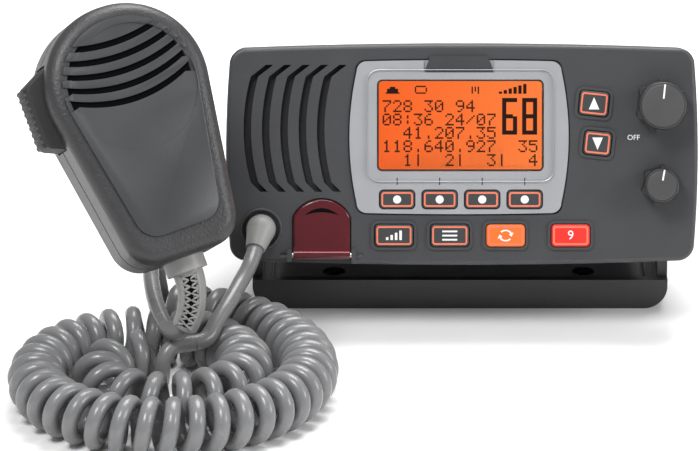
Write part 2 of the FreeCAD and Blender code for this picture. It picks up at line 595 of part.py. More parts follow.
def make_bracket():
    """The moulded U of the bracket, with its front lip, stepped ends and screw holes."""
    body = make_body("mounting_bracket")
    half, wall, floor = size("bracket_width") / 2, size("arm_wall"), size("floor_thick")
    front, rear = size("bracket_front"), size("bracket_front") + size("bracket_depth")
    pivot_y, pivot_z, arm = size("pivot_back"), size("pivot_height"), size("arm_round")
    crown, lip, corner = pivot_z + arm, size("lip_height"), size("bracket_corner")
    step = 4
    outline = [(-half, crown), (-half, 0), (half, 0), (half, crown), (half - wall, crown), (half - wall, floor + step),
               (half - wall - step, floor + step), (half - wall - step, floor), (step + wall - half, floor),
               (step + wall - half, floor + step), (wall - half, floor + step), (wall - half, crown)]
    pad(body, loop(outline, [0, corner, corner, 0, 0, 1, 1, 1, 1, 1, 1, 0]), -rear, "sizes.bracket_depth",
        plane="XZ_Plane")
    pad(body, loop([(-half, lip), (-half, 0), (half, 0), (half, lip)], [0, corner, corner, 0]),
        -front - size("lip_thick"), "sizes.lip_thick", plane="XZ_Plane")
    foot = (pivot_y - arm + size("arm_base"), lip)
    reach = Vector(foot[0] - pivot_y, foot[1] - pivot_z, 0)
    bearing = math.atan2(reach.y, reach.x) + math.acos(arm / reach.Length)
    leave = Vector(pivot_y + arm * math.cos(bearing), pivot_z + arm * math.sin(bearing), 0)
    rest = [(front - 1, crown + 1), (front - 1, lip), (pivot_y - arm, lip), (pivot_y - arm, pivot_z)]
    corners = [Vector(*spot, 0) for spot in rest] + [leave, Vector(*foot, 0), Vector(rear + 1, lip, 0),
                                                    Vector(rear + 1, crown + 1, 0)]
    cut = [Part.LineSegment(corners[i], corners[(i + 1) % 8]) for i in range(8) if i != 3]
    cut.append(Part.Arc(corners[3], Vector(pivot_y, crown, 0), leave))
    pocket(body, cut, half + 1, "sizes.bracket_width + 2", plane="YZ_Plane")
    for side in (-1, 1):
        start = half - wall if side > 0 else -half
        boss = pad(body, circle(arm - 1, pivot_y, pivot_z), start, "sizes.arm_wall", plane="YZ_Plane")
    pocket(body, circle(size("bolt_radius") + size("bolt_gap"), pivot_y, pivot_z), half + 1,
           "sizes.bracket_width + 2", plane="YZ_Plane")
    for across in (-1, 1):
        for along in (-1, 1):
            x, y = across * size("screw_pitch") / 2, along * size("screw_row") / 2
            pocket(body, circle(size("screw_bore") / 2, x, y), floor + 1, floor + 2)
            pocket(body, circle(size("screw_head") / 2, x, y), floor + 1, "sizes.head_sink + 1")
    return body


def make_pivots():
    """Hand knobs with their bolts, and the rubber washers that grip the housing."""
    made = []
    half, wall, housing = size("bracket_width") / 2, size("arm_wall"), size("housing_width") / 2
    for side, name in ((-1, "left"), (1, "right")):
        knob = make_body(name + "_pivot_knob")
        radius, thick = size("pivot_knob_radius"), size("pivot_knob_thick")
        pad(knob, circle(radius), 0, "sizes.pivot_knob_thick")
        round_edges(knob, 1.2, at_height(thick))
        flute = pocket(knob, circle(size("flute_radius"), radius + 0.6, 0), thick + 1, thick - 0.6)
        around = knob.newObject("PartDesign::PolarPattern", name + "_flutes")
        around.Originals = [flute]
        around.Axis = ([part for part in knob.Origin.OriginFeatures if part.Role == "Z_Axis"][0], [""])
        around.Angle = 360
        around.setExpression("Occurrences", "sizes.pivot_flutes")
        knob.Tip = around
        bolt = half + size("knob_lift") - housing + size("insert_depth") - 1
        pad(knob, circle(size("bolt_radius")), 0, bolt, back=True)
        knob.Placement = FreeCAD.Placement(
            Vector(side * (half + size("knob_lift")), size("pivot_back"), size("pivot_height")),
            Turn(Vector(0, 1, 0), 90 * side))
        washer = make_body(name + "_pivot_washer")
        gap = size("washer_gap")
        near = housing + gap if side > 0 else -half + wall + gap
        thick = half - wall - housing - 2 * gap
        pad(washer, circle(size("washer_radius")), near, thick, plane="YZ_Plane")
        pocket(washer, circle(size("bolt_radius") + size("bolt_gap")), near + thick + 1, thick + 2, plane="YZ_Plane")
        washer.Placement.Base = Vector(0, size("pivot_back"), size("pivot_height"))
        made += [knob, washer]
    return made


pieces.append(make_bracket())
pieces += make_pivots()

# Microphone: X across, Y up its length, Z out of its front, from the middle of its foot
mic_turn = Turn(Vector(0, 0, 1), size("mic_yaw")).multiply(
    Turn(Vector(1, 0, 0), 90 - size("mic_back"))).multiply(Turn(Vector(0, 0, 1), size("mic_lean")))
mic_place = FreeCAD.Placement(
    Vector(size("mic_x"), size("mic_y"), size("mic_z") + size("mic_boot_long") + size("collar_long")), mic_turn)
mic_wall = 2.2
mic_foot_y = -3.5


def on_mic(piece):
    piece.Placement = mic_place
    return piece


def mic_outline(inset=0.0, below=0.0):
    """The microphone's broad head and narrow foot."""
    head, foot = size("mic_head") - inset, size("mic_foot") - inset
    top, bottom = size("mic_long") - 1.5 - inset, mic_foot_y + inset + below
    half_corner = (math.pi / 2 - math.atan2(head - foot, top - bottom)) / 2
    crown = 0.98 * head * math.tan(half_corner)
    return loop([(head, top), (-head, top), (-foot, bottom), (foot, bottom)],
                [crown, crown, 11 - inset * 0.6, 11 - inset * 0.6])


def ptt_outline(gap=0.0):
    edge, long, y = size("mic_head") - 4.8, size("ptt_long") / 2 + gap, size("ptt_y") - 6
    inner = 5 + 8 * gap - edge
    return loop([(inner, y - long - 4 * gap), (inner, y + long + 4 * gap), (-edge - size("ptt_proud") - gap, y + long - 5),
                 (-edge - size("ptt_proud") - gap, y - long + 4)], [0.5, 0.5, 3.5, 3.5])


def make_mic_shells():
    seam = 0.4
    half = size("mic_thick")
    opening = size("ptt_thick") / 2 + 0.3
    made = []
    for name, front in (("mic_front_shell", True), ("mic_back_shell", False)):
        body = make_body(name)
        if front:
            pad(body, mic_outline(), seam, "sizes.mic_thick - 0.4")
            round_edges(body, "sizes.mic_round", at_height(half))
            pocket(body, mic_outline(size("panel_inset") + 2.5, 6), half + 1, "sizes.panel_sink + 1")
            pocket(body, mic_outline(mic_wall), seam, "sizes.mic_thick - 4.2", back=True)
            for i in range(int(size("mic_slots"))):
                pocket(body, mic_slot(i), half + 1, 6)
            pocket(body, ptt_outline(0.3), opening, opening + 1)
        else:
            pad(body, mic_outline(), -half, "sizes.mic_thick - 0.4")
            round_edges(body, "sizes.mic_round", at_height(-half))
            pocket(body, mic_outline(mic_wall), mic_wall - half, "sizes.mic_thick", back=True)
            pocket(body, ptt_outline(0.3), -opening, opening + 1, back=True)
        made.append(on_mic(body))
    seal = make_body("mic_seal")
    pad(seal, mic_outline(0.3), -seam, 2 * seam)
    pocket(seal, mic_outline(mic_wall), 2, 4)
    pocket(seal, ptt_outline(0.3), 2, 4)
    made.append(on_mic(seal))
    return made


def mic_slot(i):
    """One smiling slot of the microphone grille with upturned ends."""
    y = size("mic_long") - 22 - i * size("mic_slot_pitch")
    half = 13.5 - abs(i - 1.5) * 1.6
    wide, dip, kick = size("mic_slot_width"), 2.6, 2.4
    low = y - wide
    return [Part.LineSegment(Vector(-half - kick, y + kick, 0), Vector(-half, y, 0)),
            Part.Arc(Vector(-half, y, 0), Vector(0, y - dip, 0), Vector(half, y, 0)),
            Part.LineSegment(Vector(half, y, 0), Vector(half + kick, y + kick, 0)),
            Part.LineSegment(Vector(half + kick, y + kick, 0), Vector(half + kick, low + kick, 0)),
            Part.LineSegment(Vector(half + kick, low + kick, 0), Vector(half, low, 0)),
            Part.Arc(Vector(half, low, 0), Vector(0, low - dip, 0), Vector(-half, low, 0)),
            Part.LineSegment(Vector(-half, low, 0), Vector(-half - kick, low + kick, 0)),
            Part.LineSegment(Vector(-half - kick, low + kick, 0), Vector(-half - kick, y + kick, 0))]


def make_mic_inside():
    ptt = make_body("ptt_button")
    pad(ptt, ptt_outline(), -size("ptt_thick") / 2, "sizes.ptt_thick")
    round_edges(ptt, 1.2, lambda edge: edge.BoundBox.XMax < 3 - size("mic_head") and edge.BoundBox.ZLength < 1e-4)
    board = make_body("mic_circuit_board")
    head, y = size("mic_head"), size("ptt_y") - 6
    pad(board, loop([(head - 12, 66), (14 - head, 66), (-13, 12), (13, 12)], 2), -4, "sizes.board_thick")
    switch = make_body("mic_switch")
    inner = size("mic_head") - 9.8 - size("ptt_travel") - 0.1
    pad(switch, oblong(5, 9, 0.5, -inner + 2.5, y), -2.4, 6)
    capsule = make_body("mic_capsule")
    pad(capsule, circle(9.5, 0, 60), -2.4, size("mic_thick") - 3.8 + 2.4)
    stud = make_body("mic_hang_stud")
    pad(stud, circle(size("stud_neck"), 0, 50), -size("mic_thick"), 4.5, back=True)
    pad(stud, circle(size("stud_radius"), 0, 50), -size("mic_thick") - 4.5, 2.2, back=True)
    pad(stud, circle(size("stud_radius"), 0, 50), -size("mic_thick"), 0.8, back=True)
    post = make_body("mic_board_posts")
    pad(post, circle(3, 0, 20), mic_wall - size("mic_thick"), size("mic_thick") - mic_wall - 4)
    return [on_mic(body) for body in (ptt, board, switch, capsule, stud, post)]


pieces += make_mic_shells() + make_mic_inside()


def join_runs(spots):
    """A smooth line through hand-placed points: straight runs and tangent arcs, as large as the runs allow."""
    edges, radii = [], []
    here = spots[0]
    for before, spot, after in zip(spots, spots[1:], spots[2:]):
        back, ahead = (before - spot), (after - spot)
        reach = 0.45 * min(back.Length, ahead.Length)
        back.normalize()
        ahead.normalize()
        half = back.getAngle(ahead) / 2
        radius = reach * math.tan(half)
        start, end = spot + back * reach, spot + ahead * reach
        middle = spot + (back + ahead).normalize() * (radius / math.sin(half) - radius)
        edges += [Part.LineSegment(here, start).toShape(), Part.Arc(start, middle, end).toShape()]
        radii.append(round(radius, 1))
        here = end
    edges.append(Part.LineSegment(here, spots[-1]).toShape())
    return Part.Wire(edges), radii


def wire_section(spot, along, radius, sides=0):
    """A round or many-sided outline square to the line that it follows."""
    if not sides:
        return Part.Wire([Part.Circle(spot, along, radius).toShape()])
    across = along.cross(Vector(0, 0, 1)) if abs(along.z) < 0.9 else along.cross(Vector(1, 0, 0))
    across.normalize()
    up = along.cross(across)
    corners = [spot + across * (radius * math.cos(2 * math.pi * i / sides))
               + up * (radius * math.sin(2 * math.pi * i / sides)) for i in range(sides)]
    return Part.makePolygon(corners + corners[:1])


def tube(path, spot, along, radius, sides=0):
    shell = Part.BRepOffsetAPI.MakePipeShell(path)
    shell.add(wire_section(spot, along, radius, sides))
    shell.build()
    shell.makeSolid()
    return shell.shape()


# The curly cord: a spiral of two laps on the floor, wound into curls
lift = size("curl_radius") + size("wire") / 2
sweep = size("ring_laps") * 2 * math.pi
inward = size("ring_pitch") / (2 * math.pi)
curl_room = size("wire") + size("curl_gap")


def curls_within(angle):
    """How many curls fit between the outer end and an angle, counted inwards."""
    return ((size("ring_outer") - size("curl_radius")) * angle - inward * angle * angle / 2) / curl_room


curl_count = math.floor(curls_within(sweep)) + 0.75


def curl_point(curl):
    """A point on the wire, by curls counted from the inner end."""
    left = (curl_count - curl) / curl_count * curls_within(sweep) * curl_room
    straight = size("ring_outer") - size("curl_radius")
    angle = (straight - math.sqrt(max(straight ** 2 - 2 * inward * left, 0))) / inward
    radius = size("ring_outer") - inward * angle
    outward = Vector(math.sin(angle), math.cos(angle), 0)
    roll = (curl + 0.25) * 2 * math.pi
    hub = Vector(size("ring_x"), size("ring_y"), lift)
    return (hub + outward * (radius + size("curl_radius") * math.cos(roll))
            + Vector(0, 0, size("curl_radius") * math.sin(roll)))


def curl_heading(curl):
    step = 0.0005
    return (curl_point(curl + step) - curl_point(curl - step)).normalize()


def arc_from(start, heading, end):
    """An arc that leaves a point along a heading and ends at another point."""
    chord = end - start
    sideways = (chord - heading * chord.dot(heading)).normalize()
    radius = chord.dot(chord) / (2 * chord.dot(sideways))
    centre = start + sideways * radius
    half_way = (chord * 0.5 + start - centre).normalize()
    return Part.Arc(start, centre + half_way * radius, end).toShape()


def curl_arcs(curl, turn):
    """Two tangent arcs along a half or quarter turn of the wire."""
    start, end = curl_point(curl), curl_point(curl + turn)
    leave, arrive = curl_heading(curl), curl_heading(curl + turn)
    span = end - start
    bend = 2 * (1 - leave.dot(arrive))
    pull = 2 * span.dot(leave + arrive)
    handle = (math.sqrt(pull * pull + 4 * bend * span.dot(span)) - pull) / (2 * bend)
    near, far = start + leave * handle, end - arrive * handle
    joint = (near + far) * 0.5
    return [arc_from(start, leave, joint), arc_from(joint, (far - near).normalize(), end)]


def make_coil():
    edges = []
    whole_halves = int(curl_count * 2)
    for half in range(whole_halves):
        edges += curl_arcs(half / 2, 0.5)
    edges += curl_arcs(whole_halves / 2, curl_count - whole_halves / 2)
    inner, outer = curl_point(0), curl_point(curl_count)
    inner_tip = inner - curl_heading(0) * size("wire")
    outer_tip = outer + curl_heading(curl_count) * size("wire")
    path = Part.Wire([Part.LineSegment(inner_tip, inner).toShape()] + edges
                     + [Part.LineSegment(outer, outer_tip).toShape()])
    coil = tube(path, inner_tip, curl_heading(0), size("wire") / 2, int(size("cord_sides")))
    print("curly cord:", curl_count, "curls, wire length", round(path.Length))
    return keep("cord_coil", coil), inner_tip, outer_tip, path


coil, inner_tip, outer_tip, coil_path = make_coil()


def curl_clearance(path):
    """The least gap between the curly wire and itself, on points along it."""
    spots = path.discretize(Distance=1.2)
    least, skip = 1e9, int(size("wire") * 3.2 / 1.2)
    near = {}
    for i, spot in enumerate(spots):
        near.setdefault((int(spot.x // 8), int(spot.y // 8), int(spot.z // 8)), []).append(i)
    for (a, b, c), group in near.items():
        others = [i for da in (-1, 0, 1) for db in (-1, 0, 1) for dc in (-1, 0, 1)
                  for i in near.get((a + da, b + db, c + dc), [])]
        for i in group:
            for j in others:
                if j - i > skip:
                    least = min(least, (spots[i] - spots[j]).Length)
    return least - size("wire")


print("least gap of the curly cord to itself:", round(curl_clearance(coil_path), 2))


# Boots that the cord leaves through
def make_radio_boot():
    base = radio_place().multVec(Vector(size("boot_x"), size("boot_y"), wall_back + size("cover_wall") - 0.8))
    normal = radio_place().Rotation.multVec(Vector(0, 0, 1))
    aim = Vector(-0.22, -0.8, -0.52).normalize()
    root = Part.makeCylinder(size("boot_radius"), 2.6, base, normal)
    knuckle = base + normal * 2.6
    cap = Part.makeSphere(size("boot_radius"), knuckle)
    cone = Part.makeCone(size("boot_radius"), size("wire") / 2 + 0.6, size("boot_tall"), knuckle, aim)
    cap = cap.common(Part.makeCylinder(size("boot_radius") + 1, 20, base, normal))
    gland_room = Part.makeCylinder(2 * size("boot_radius"), 10, base - normal * 10, normal)
    shape = root.fuse([cap, cone]).cut(gland_room).removeSplitter()
    return keep("radio_cord_boot", shape), knuckle + aim * size("boot_tall"), aim


radio_boot, drop_start, drop_aim = make_radio_boot()


def make_mic_boot():
    """A curved strain relief from the microphone's collar down to the floor coil."""
    top = mic_place.multVec(Vector(0, mic_foot_y, 0))
    leave = mic_turn.multVec(Vector(0, -1, 0))
    collar = Part.makeCylinder(size("collar_radius"), size("collar_long"), top, leave)
    start = top + leave * size("collar_long")
    arrive = Vector(-0.5, 0.15, -1).normalize()
    bend = leave.getAngle(arrive)
    inward_way = (arrive - leave * arrive.dot(leave)).normalize()
    radius = size("mic_boot_long") / bend
    centre = start + inward_way * radius
    middle = centre - inward_way * (radius * math.cos(bend / 2)) + leave * (radius * math.sin(bend / 2))
    end = centre - inward_way * (radius * math.cos(bend)) + leave * (radius * math.sin(bend))
    path = Part.Wire([Part.Arc(start, middle, end).toShape()])
    shell = Part.BRepOffsetAPI.MakePipeShell(path)
    shell.add(wire_section(start, leave, size("mic_boot_radius")))
    shell.add(wire_section(end, arrive, size("mic_boot_radius") - 0.8))
    shell.build()
    shell.makeSolid()
    return keep("mic_cord_boot", collar.fuse(shell.shape()).removeSplitter()), end, arrive


mic_boot, arch_start, arch_aim = make_mic_boot()


def make_free_cords():
    print("free ends run between", drop_start, inner_tip, arch_start, outer_tip)
    drop = [drop_start, drop_start + drop_aim * 7, Vector(-79, -91, 31.5), Vector(-83, -102, 27.5),
            Vector(-88, -110.5, 22.8), inner_tip - curl_heading(0) * 5, inner_tip]
    arch = [arch_start, arch_start + arch_aim * 4, Vector(-104, -121.5, 24.2), Vector(-107.5, -111, 26.3),
            Vector(-110, -99, 28.8), Vector(-111.5, -87, 31.8), Vector(-111.5, -75.5, 33),
            Vector(-109.5, -65.5, 30.5), outer_tip + curl_heading(curl_count) * 7, outer_tip]
    made = []
    for label, route in (("cord_drop", drop), ("cord_arch", arch)):
        path, radii = join_runs(route)
        heading = (route[1] - route[0]).normalize()
        solid = tube(path, route[0], heading, size("wire") / 2)
        expected = math.pi * (size("wire") / 2) ** 2 * path.Length
        print(label, "length", round(path.Length, 1), "radii", radii,
              "volume against section times length", round(solid.Volume / expected, 4))
        made.append(keep(label, solid))
    return made


pieces += [coil, radio_boot, mic_boot] + make_free_cords()

doc.recompute()
for thing in doc.Objects:
    if "Invalid" in thing.State or "Error" in thing.State:
        raise RuntimeError(f"{thing.Name} failed to build")
os.makedirs("parts", exist_ok=True)
for piece in pieces:
    if piece.Shape.isNull() or not piece.Shape.isValid():
        raise RuntimeError(f"{piece.Label} has no sound shape {piece.Shape.isNull()}")
for piece in pieces:
    piece.Shape.exportStep(f"parts/{piece.Label}.step")
print(len(pieces), "pieces written")
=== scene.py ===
import bpy
import bmesh
import math
from mathutils import Matrix, Vector


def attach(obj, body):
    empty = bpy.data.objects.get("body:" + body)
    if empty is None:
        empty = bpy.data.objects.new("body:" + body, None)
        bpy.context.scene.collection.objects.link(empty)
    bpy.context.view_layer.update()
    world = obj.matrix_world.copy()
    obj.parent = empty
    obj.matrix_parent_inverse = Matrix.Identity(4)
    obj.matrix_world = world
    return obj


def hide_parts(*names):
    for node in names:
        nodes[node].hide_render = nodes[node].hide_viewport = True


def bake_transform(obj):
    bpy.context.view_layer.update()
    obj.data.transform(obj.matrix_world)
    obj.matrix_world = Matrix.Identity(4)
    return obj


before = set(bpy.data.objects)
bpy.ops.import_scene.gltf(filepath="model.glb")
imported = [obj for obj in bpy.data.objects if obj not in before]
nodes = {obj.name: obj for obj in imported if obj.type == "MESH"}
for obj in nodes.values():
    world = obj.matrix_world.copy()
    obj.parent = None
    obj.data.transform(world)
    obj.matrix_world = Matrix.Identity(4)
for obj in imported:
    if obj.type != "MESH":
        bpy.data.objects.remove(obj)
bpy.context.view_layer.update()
mm = 0.001
print("frame loaded, nodes:", len(nodes))

# Camera at the photograph's angle, in millimetres and degrees
cameraSetup = {"aim": (-40.3, -65.5, 42.7), "distance": 2000, "elevation": 21, "lens": 285.9}
lift = math.radians(cameraSetup["elevation"])
spot = Vector(cameraSetup["aim"]) + cameraSetup["distance"] * Vector((0, -math.cos(lift), math.sin(lift)))
bpy.ops.object.camera_add(location=spot * mm, rotation=(math.pi / 2 - lift, 0, 0))
camera = bpy.context.object
camera.data.lens = cameraSetup["lens"]
camera.data.clip_end = 20
bpy.context.scene.camera = camera

# Where the radio's face and the microphone's front stand: X across, Y up, Z out of the face
faceSetup = {"tilt": 18, "pivotHeight": 55.7, "pivotBack": -23.1, "front": 35}
faceTurn = Matrix.Rotation(math.radians(90 - faceSetup["tilt"]), 4, "X")
facePlace = Matrix.Translation(Vector((0, faceSetup["pivotBack"], faceSetup["pivotHeight"])) * mm) @ faceTurn
micSetup = {"foot": (-100, -119.5, 54.5), "yaw": 17, "back": 28, "lean": 12.8, "front": 15}
micTurn = (Matrix.Rotation(math.radians(micSetup["yaw"]), 4, "Z")
           @ Matrix.Rotation(math.radians(90 - micSetup["back"]), 4, "X")
           @ Matrix.Rotation(math.radians(micSetup["lean"]), 4, "Z"))
micPlace = Matrix.Translation(Vector(micSetup["foot"]) * mm) @ micTurn


def deselect():
    if bpy.context.object and bpy.context.object.mode != "OBJECT":
        bpy.ops.object.mode_set(mode="OBJECT")
    bpy.ops.object.select_all(action="DESELECT")


def choose(piece):
    deselect()
    piece.select_set(True)
    bpy.context.view_layer.objects.active = piece


def dress(piece, material):
    piece.data.materials.clear()
    piece.data.materials.append(material)


def finishPiece(piece, name, place, body, material, angle=30):
    choose(piece)
    piece.name = name
    piece.matrix_world = place @ piece.matrix_world
    bpy.ops.object.transform_apply(location=True, rotation=True, scale=True)
    if angle:
        bpy.ops.object.shade_smooth_by_angle(angle=math.radians(angle))
    dress(piece, material)
    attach(piece, body)
    return piece


def applyModifier(piece, kind, **settings):
    choose(piece)
    modifier = piece.modifiers.new(kind.lower(), kind)
    for setting, value in settings.items():
        setattr(modifier, setting, value)
    bpy.ops.object.modifier_apply(modifier=modifier.name)


def cutWith(piece, cutter):
    applyModifier(piece, "BOOLEAN", object=cutter, operation="DIFFERENCE", solver="EXACT")
    bpy.data.objects.remove(cutter)


def joinPieces(pieces, name):
    deselect()
    for piece in pieces:
        piece.select_set(True)
    bpy.context.view_layer.objects.active = pieces[0]
    bpy.ops.object.join()
    pieces[0].name = name
    return pieces[0]


# Materials: moulded plastics, metals, glass and print, each with its own grain
def newMaterial(name, colour, roughness, metallic=0.0, **extra):
    material = bpy.data.materials.new(name)
    material.use_nodes = True
    shader = material.node_tree.nodes["Principled BSDF"]
    shader.inputs["Base Color"].default_value = (*colour, 1)
    shader.inputs["Roughness"].default_value = roughness
    shader.inputs["Metallic"].default_value = metallic
    for socket, value in extra.items():
        shader.inputs[socket].default_value = value
    return material


def addGrain(material, scale, height, roughSpread=0.0, patch=0.0, patchScale=60, stretch=(1, 1, 1)):
    tree = material.node_tree
    shader = tree.nodes["Principled BSDF"]
    link = tree.links.new
    coordinates = tree.nodes.new("ShaderNodeTexCoord")
    mapping = tree.nodes.new("ShaderNodeMapping")
    mapping.inputs["Scale"].default_value = stretch
    link(coordinates.outputs["Object"], mapping.inputs["Vector"])
    grain = tree.nodes.new("ShaderNodeTexNoise")
    grain.inputs["Scale"].default_value = scale
    grain.inputs["Detail"].default_value = 3
    link(mapping.outputs["Vector"], grain.inputs["Vector"])
    bump = tree.nodes.new("ShaderNodeBump")
    bump.inputs["Strength"].default_value = 1
    bump.inputs["Distance"].default_value = height
    link(grain.outputs["Fac"], bump.inputs["Height"])
    link(bump.outputs["Normal"], shader.inputs["Normal"])
    clouds = tree.nodes.new("ShaderNodeTexNoise")
    clouds.inputs["Scale"].default_value = patchScale
    clouds.inputs["Detail"].default_value = 4
    link(mapping.outputs["Vector"], clouds.inputs["Vector"])
    if roughSpread:
        rough = shader.inputs["Roughness"].default_value
        spreadNode = tree.nodes.new("ShaderNodeMapRange")
        spreadNode.inputs["To Min"].default_value = max(0.02, rough - roughSpread)
        spreadNode.inputs["To Max"].default_value = min(1, rough + roughSpread)
        link(clouds.outputs["Fac"], spreadNode.inputs["Value"])
        link(spreadNode.outputs["Result"], shader.inputs["Roughness"])
    if patch:
        colour = shader.inputs["Base Color"].default_value[:3]
        ramp = tree.nodes.new("ShaderNodeValToRGB")
        ramp.color_ramp.elements[0].position = 0.3
        ramp.color_ramp.elements[1].position = 0.7
        ramp.color_ramp.elements[0].color = (*[max(0, c * (1 - patch)) for c in colour], 1)
        ramp.color_ramp.elements[1].color = (*[min(1, c * (1 + patch)) for c in colour], 1)
        link(clouds.outputs["Fac"], ramp.inputs["Fac"])
        link(ramp.outputs["Color"], shader.inputs["Base Color"])
    return material


finishes = {
    "faceplate": addGrain(newMaterial("faceplateMoulding", (0.037, 0.038, 0.041), 0.46),
                          2400, 0.00006, 0.05, 0.06),
    "housing": addGrain(newMaterial("housingPaint", (0.02, 0.02, 0.022), 0.55), 2600, 0.00008, 0.05, 0.1),
    "sink": addGrain(newMaterial("sinkCasting", (0.03, 0.03, 0.032), 0.45, 0.6), 1500, 0.00008, 0.06, 0.1),
    "bracket": addGrain(newMaterial("bracketMoulding", (0.024, 0.024, 0.026), 0.42), 1900, 0.0001, 0.06, 0.1),
    "silver": addGrain(newMaterial("silverPaint", (0.47, 0.48, 0.5), 0.3, 0.6), 3200, 0.00003, 0.04, 0.03),
    "lens": newMaterial("clearLens", (1, 1, 1), 0.04, **{"Transmission Weight": 1.0, "IOR": 1.3}),
    "lcd": newMaterial("amberGlow", (0.03, 0.005, 0.001), 0.5, **{
        "Emission Color": (1, 0.17, 0.025, 1), "Emission Strength": 0.98, "Specular IOR Level": 0.1}),
    "ink": addGrain(newMaterial("displayInk", (0.012, 0.004, 0.003), 0.7, **{"Specular IOR Level": 0.1}),
                    900, 0.00001, 0.03, 0.1),
    "mesh": addGrain(newMaterial("speakerGauze", (0.012, 0.012, 0.013), 0.8), 900, 0.0002, 0.05, 0.2),
    "knob": addGrain(newMaterial("knobRubber", (0.017, 0.017, 0.018), 0.5), 1700, 0.0001, 0.06, 0.12),
    # Lighter knob caps: a painted highlight for the light on the knob tops
    "knobTopHighlight": addGrain(newMaterial("knobTopHighlight", (0.05, 0.05, 0.052), 0.42), 2200, 0.00008, 0.06, 0.1),
    "steel": addGrain(newMaterial("steelFitting", (0.55, 0.55, 0.54), 0.3, 1.0), 900, 0.00005, 0.08, 0.05),
    "brass": addGrain(newMaterial("brassFitting", (0.75, 0.55, 0.25), 0.3, 1.0), 900, 0.00005, 0.08, 0.06),
    "flap": addGrain(newMaterial("smokedRed", (0.075, 0.006, 0.01), 0.12), 700, 0.00004, 0.05, 0.12),
    "redKey": addGrain(newMaterial("redKey", (0.66, 0.02, 0.012), 0.4), 1800, 0.00005, 0.05, 0.06),
    "orangeKey": addGrain(newMaterial("orangeKey", (0.85, 0.14, 0.015), 0.42), 1800, 0.00005, 0.05, 0.05),
    # Brighter red for the flap's hinge strip: a painted highlight
    "redGlow": addGrain(newMaterial("redHighlightStrip", (0.4, 0.02, 0.04), 0.2), 700, 0.00003, 0.05, 0.1),
    "greyKey": addGrain(newMaterial("greyKey", (0.03, 0.033, 0.034), 0.46), 1800, 0.00006, 0.05, 0.08),
    "rubber": addGrain(newMaterial("blackRubber", (0.013, 0.013, 0.014), 0.65), 1400, 0.0001, 0.05, 0.15),
    "board": addGrain(newMaterial("circuitBoard", (0.02, 0.11, 0.05), 0.4), 600, 0.00005, 0.06, 0.12),
    "cord": addGrain(newMaterial("cordRubber", (0.165, 0.166, 0.17), 0.27), 1300, 0.00004, 0.06, 0.07),
    "boot": addGrain(newMaterial("bootRubber", (0.24, 0.24, 0.235), 0.42), 1300, 0.00006, 0.05, 0.06),
    "mic": addGrain(newMaterial("micMoulding", (0.028, 0.028, 0.03), 0.4), 1100, 0.00022, 0.06, 0.07),
    "micSmooth": addGrain(newMaterial("micPanel", (0.034, 0.035, 0.037), 0.4), 2600, 0.00004, 0.05, 0.05),
    "white": addGrain(newMaterial("whitePrint", (0.75, 0.75, 0.74), 0.5), 1500, 0.00001, 0.04, 0.03),
    "salmon": addGrain(newMaterial("salmonPrint", (0.72, 0.16, 0.09), 0.5), 1500, 0.00001, 0.04, 0.05),
    # Dark finish for real print (the ticks) and also for painted shade (the flap's scoop, the louvre gaps,
    # the boot window)
    "dark": addGrain(newMaterial("darkPrintAndShade", (0.002, 0.002, 0.002), 0.7, **{"Specular IOR Level": 0.05}),
                     1500, 0.00001, 0.04, 0.1),
}
print("materials ready:", len(finishes))

nodeFinishes = {
    "faceplate": ["front_cover"],
    "housing": ["rear_housing"],
    "sink": ["heat_sink"],
    "bracket": ["mounting_bracket"],
    "silver": ["display_bezel"],
    "lens": ["display_lens"],
    "lcd": ["lcd_module"],
    "mesh": ["speaker_mesh", "mic_capsule"],
    "knob": ["volume_knob", "squelch_knob", "left_pivot_knob", "right_pivot_knob"],
    "steel": ["distress_hinge_pin", "mic_hang_stud", "volume_pot", "squelch_pot", "speaker"],
    "brass": ["left_pivot_insert", "right_pivot_insert", "antenna_socket"],
    "flap": ["distress_cover"],
    "redKey": ["distress_button", "priority_key"],
    "orangeKey": ["recall_key"],
    "greyKey": ["soft_key_1", "soft_key_2", "soft_key_3", "soft_key_4", "menu_key", "power_level_key",
                "channel_up_key", "channel_down_key", "blank_tab"],
    "rubber": ["face_gasket", "keypad_membrane", "left_pivot_washer", "right_pivot_washer", "cord_gland",
               "power_lead_gland", "data_lead_gland", "mic_seal", "ptt_button"],
    "board": ["main_circuit_board", "keypad_board", "mic_circuit_board", "mic_switch"],
    "boot": ["mic_cord_boot", "radio_cord_boot"],
    "mic": ["mic_front_shell", "mic_back_shell", "mic_board_posts"],
}
for finish, members in nodeFinishes.items():
    for member in members:
        dress(nodes[member], finishes[finish])

# The screen's backlight is brighter towards its right
glowTree = finishes["lcd"].node_tree
glowPlace = glowTree.nodes.new("ShaderNodeTexCoord")
glowSplit = glowTree.nodes.new("ShaderNodeSeparateXYZ")
glowRange = glowTree.nodes.new("ShaderNodeMapRange")
glowRamp = glowTree.nodes.new("ShaderNodeValToRGB")
glowRange.inputs["From Min"].default_value = -0.032
glowRange.inputs["From Max"].default_value = 0.03
glowRamp.color_ramp.elements[0].color = (0.95, 0.125, 0.012, 1)
glowRamp.color_ramp.elements[1].color = (1, 0.22, 0.045, 1)
glowTree.links.new(glowPlace.outputs["Object"], glowSplit.inputs["Vector"])
glowTree.links.new(glowSplit.outputs["X"], glowRange.inputs["Value"])
glowTree.links.new(glowRange.outputs["Result"], glowRamp.inputs["Fac"])
glowTree.links.new(glowRamp.outputs["Color"], glowTree.nodes["Principled BSDF"].inputs["Emission Color"])
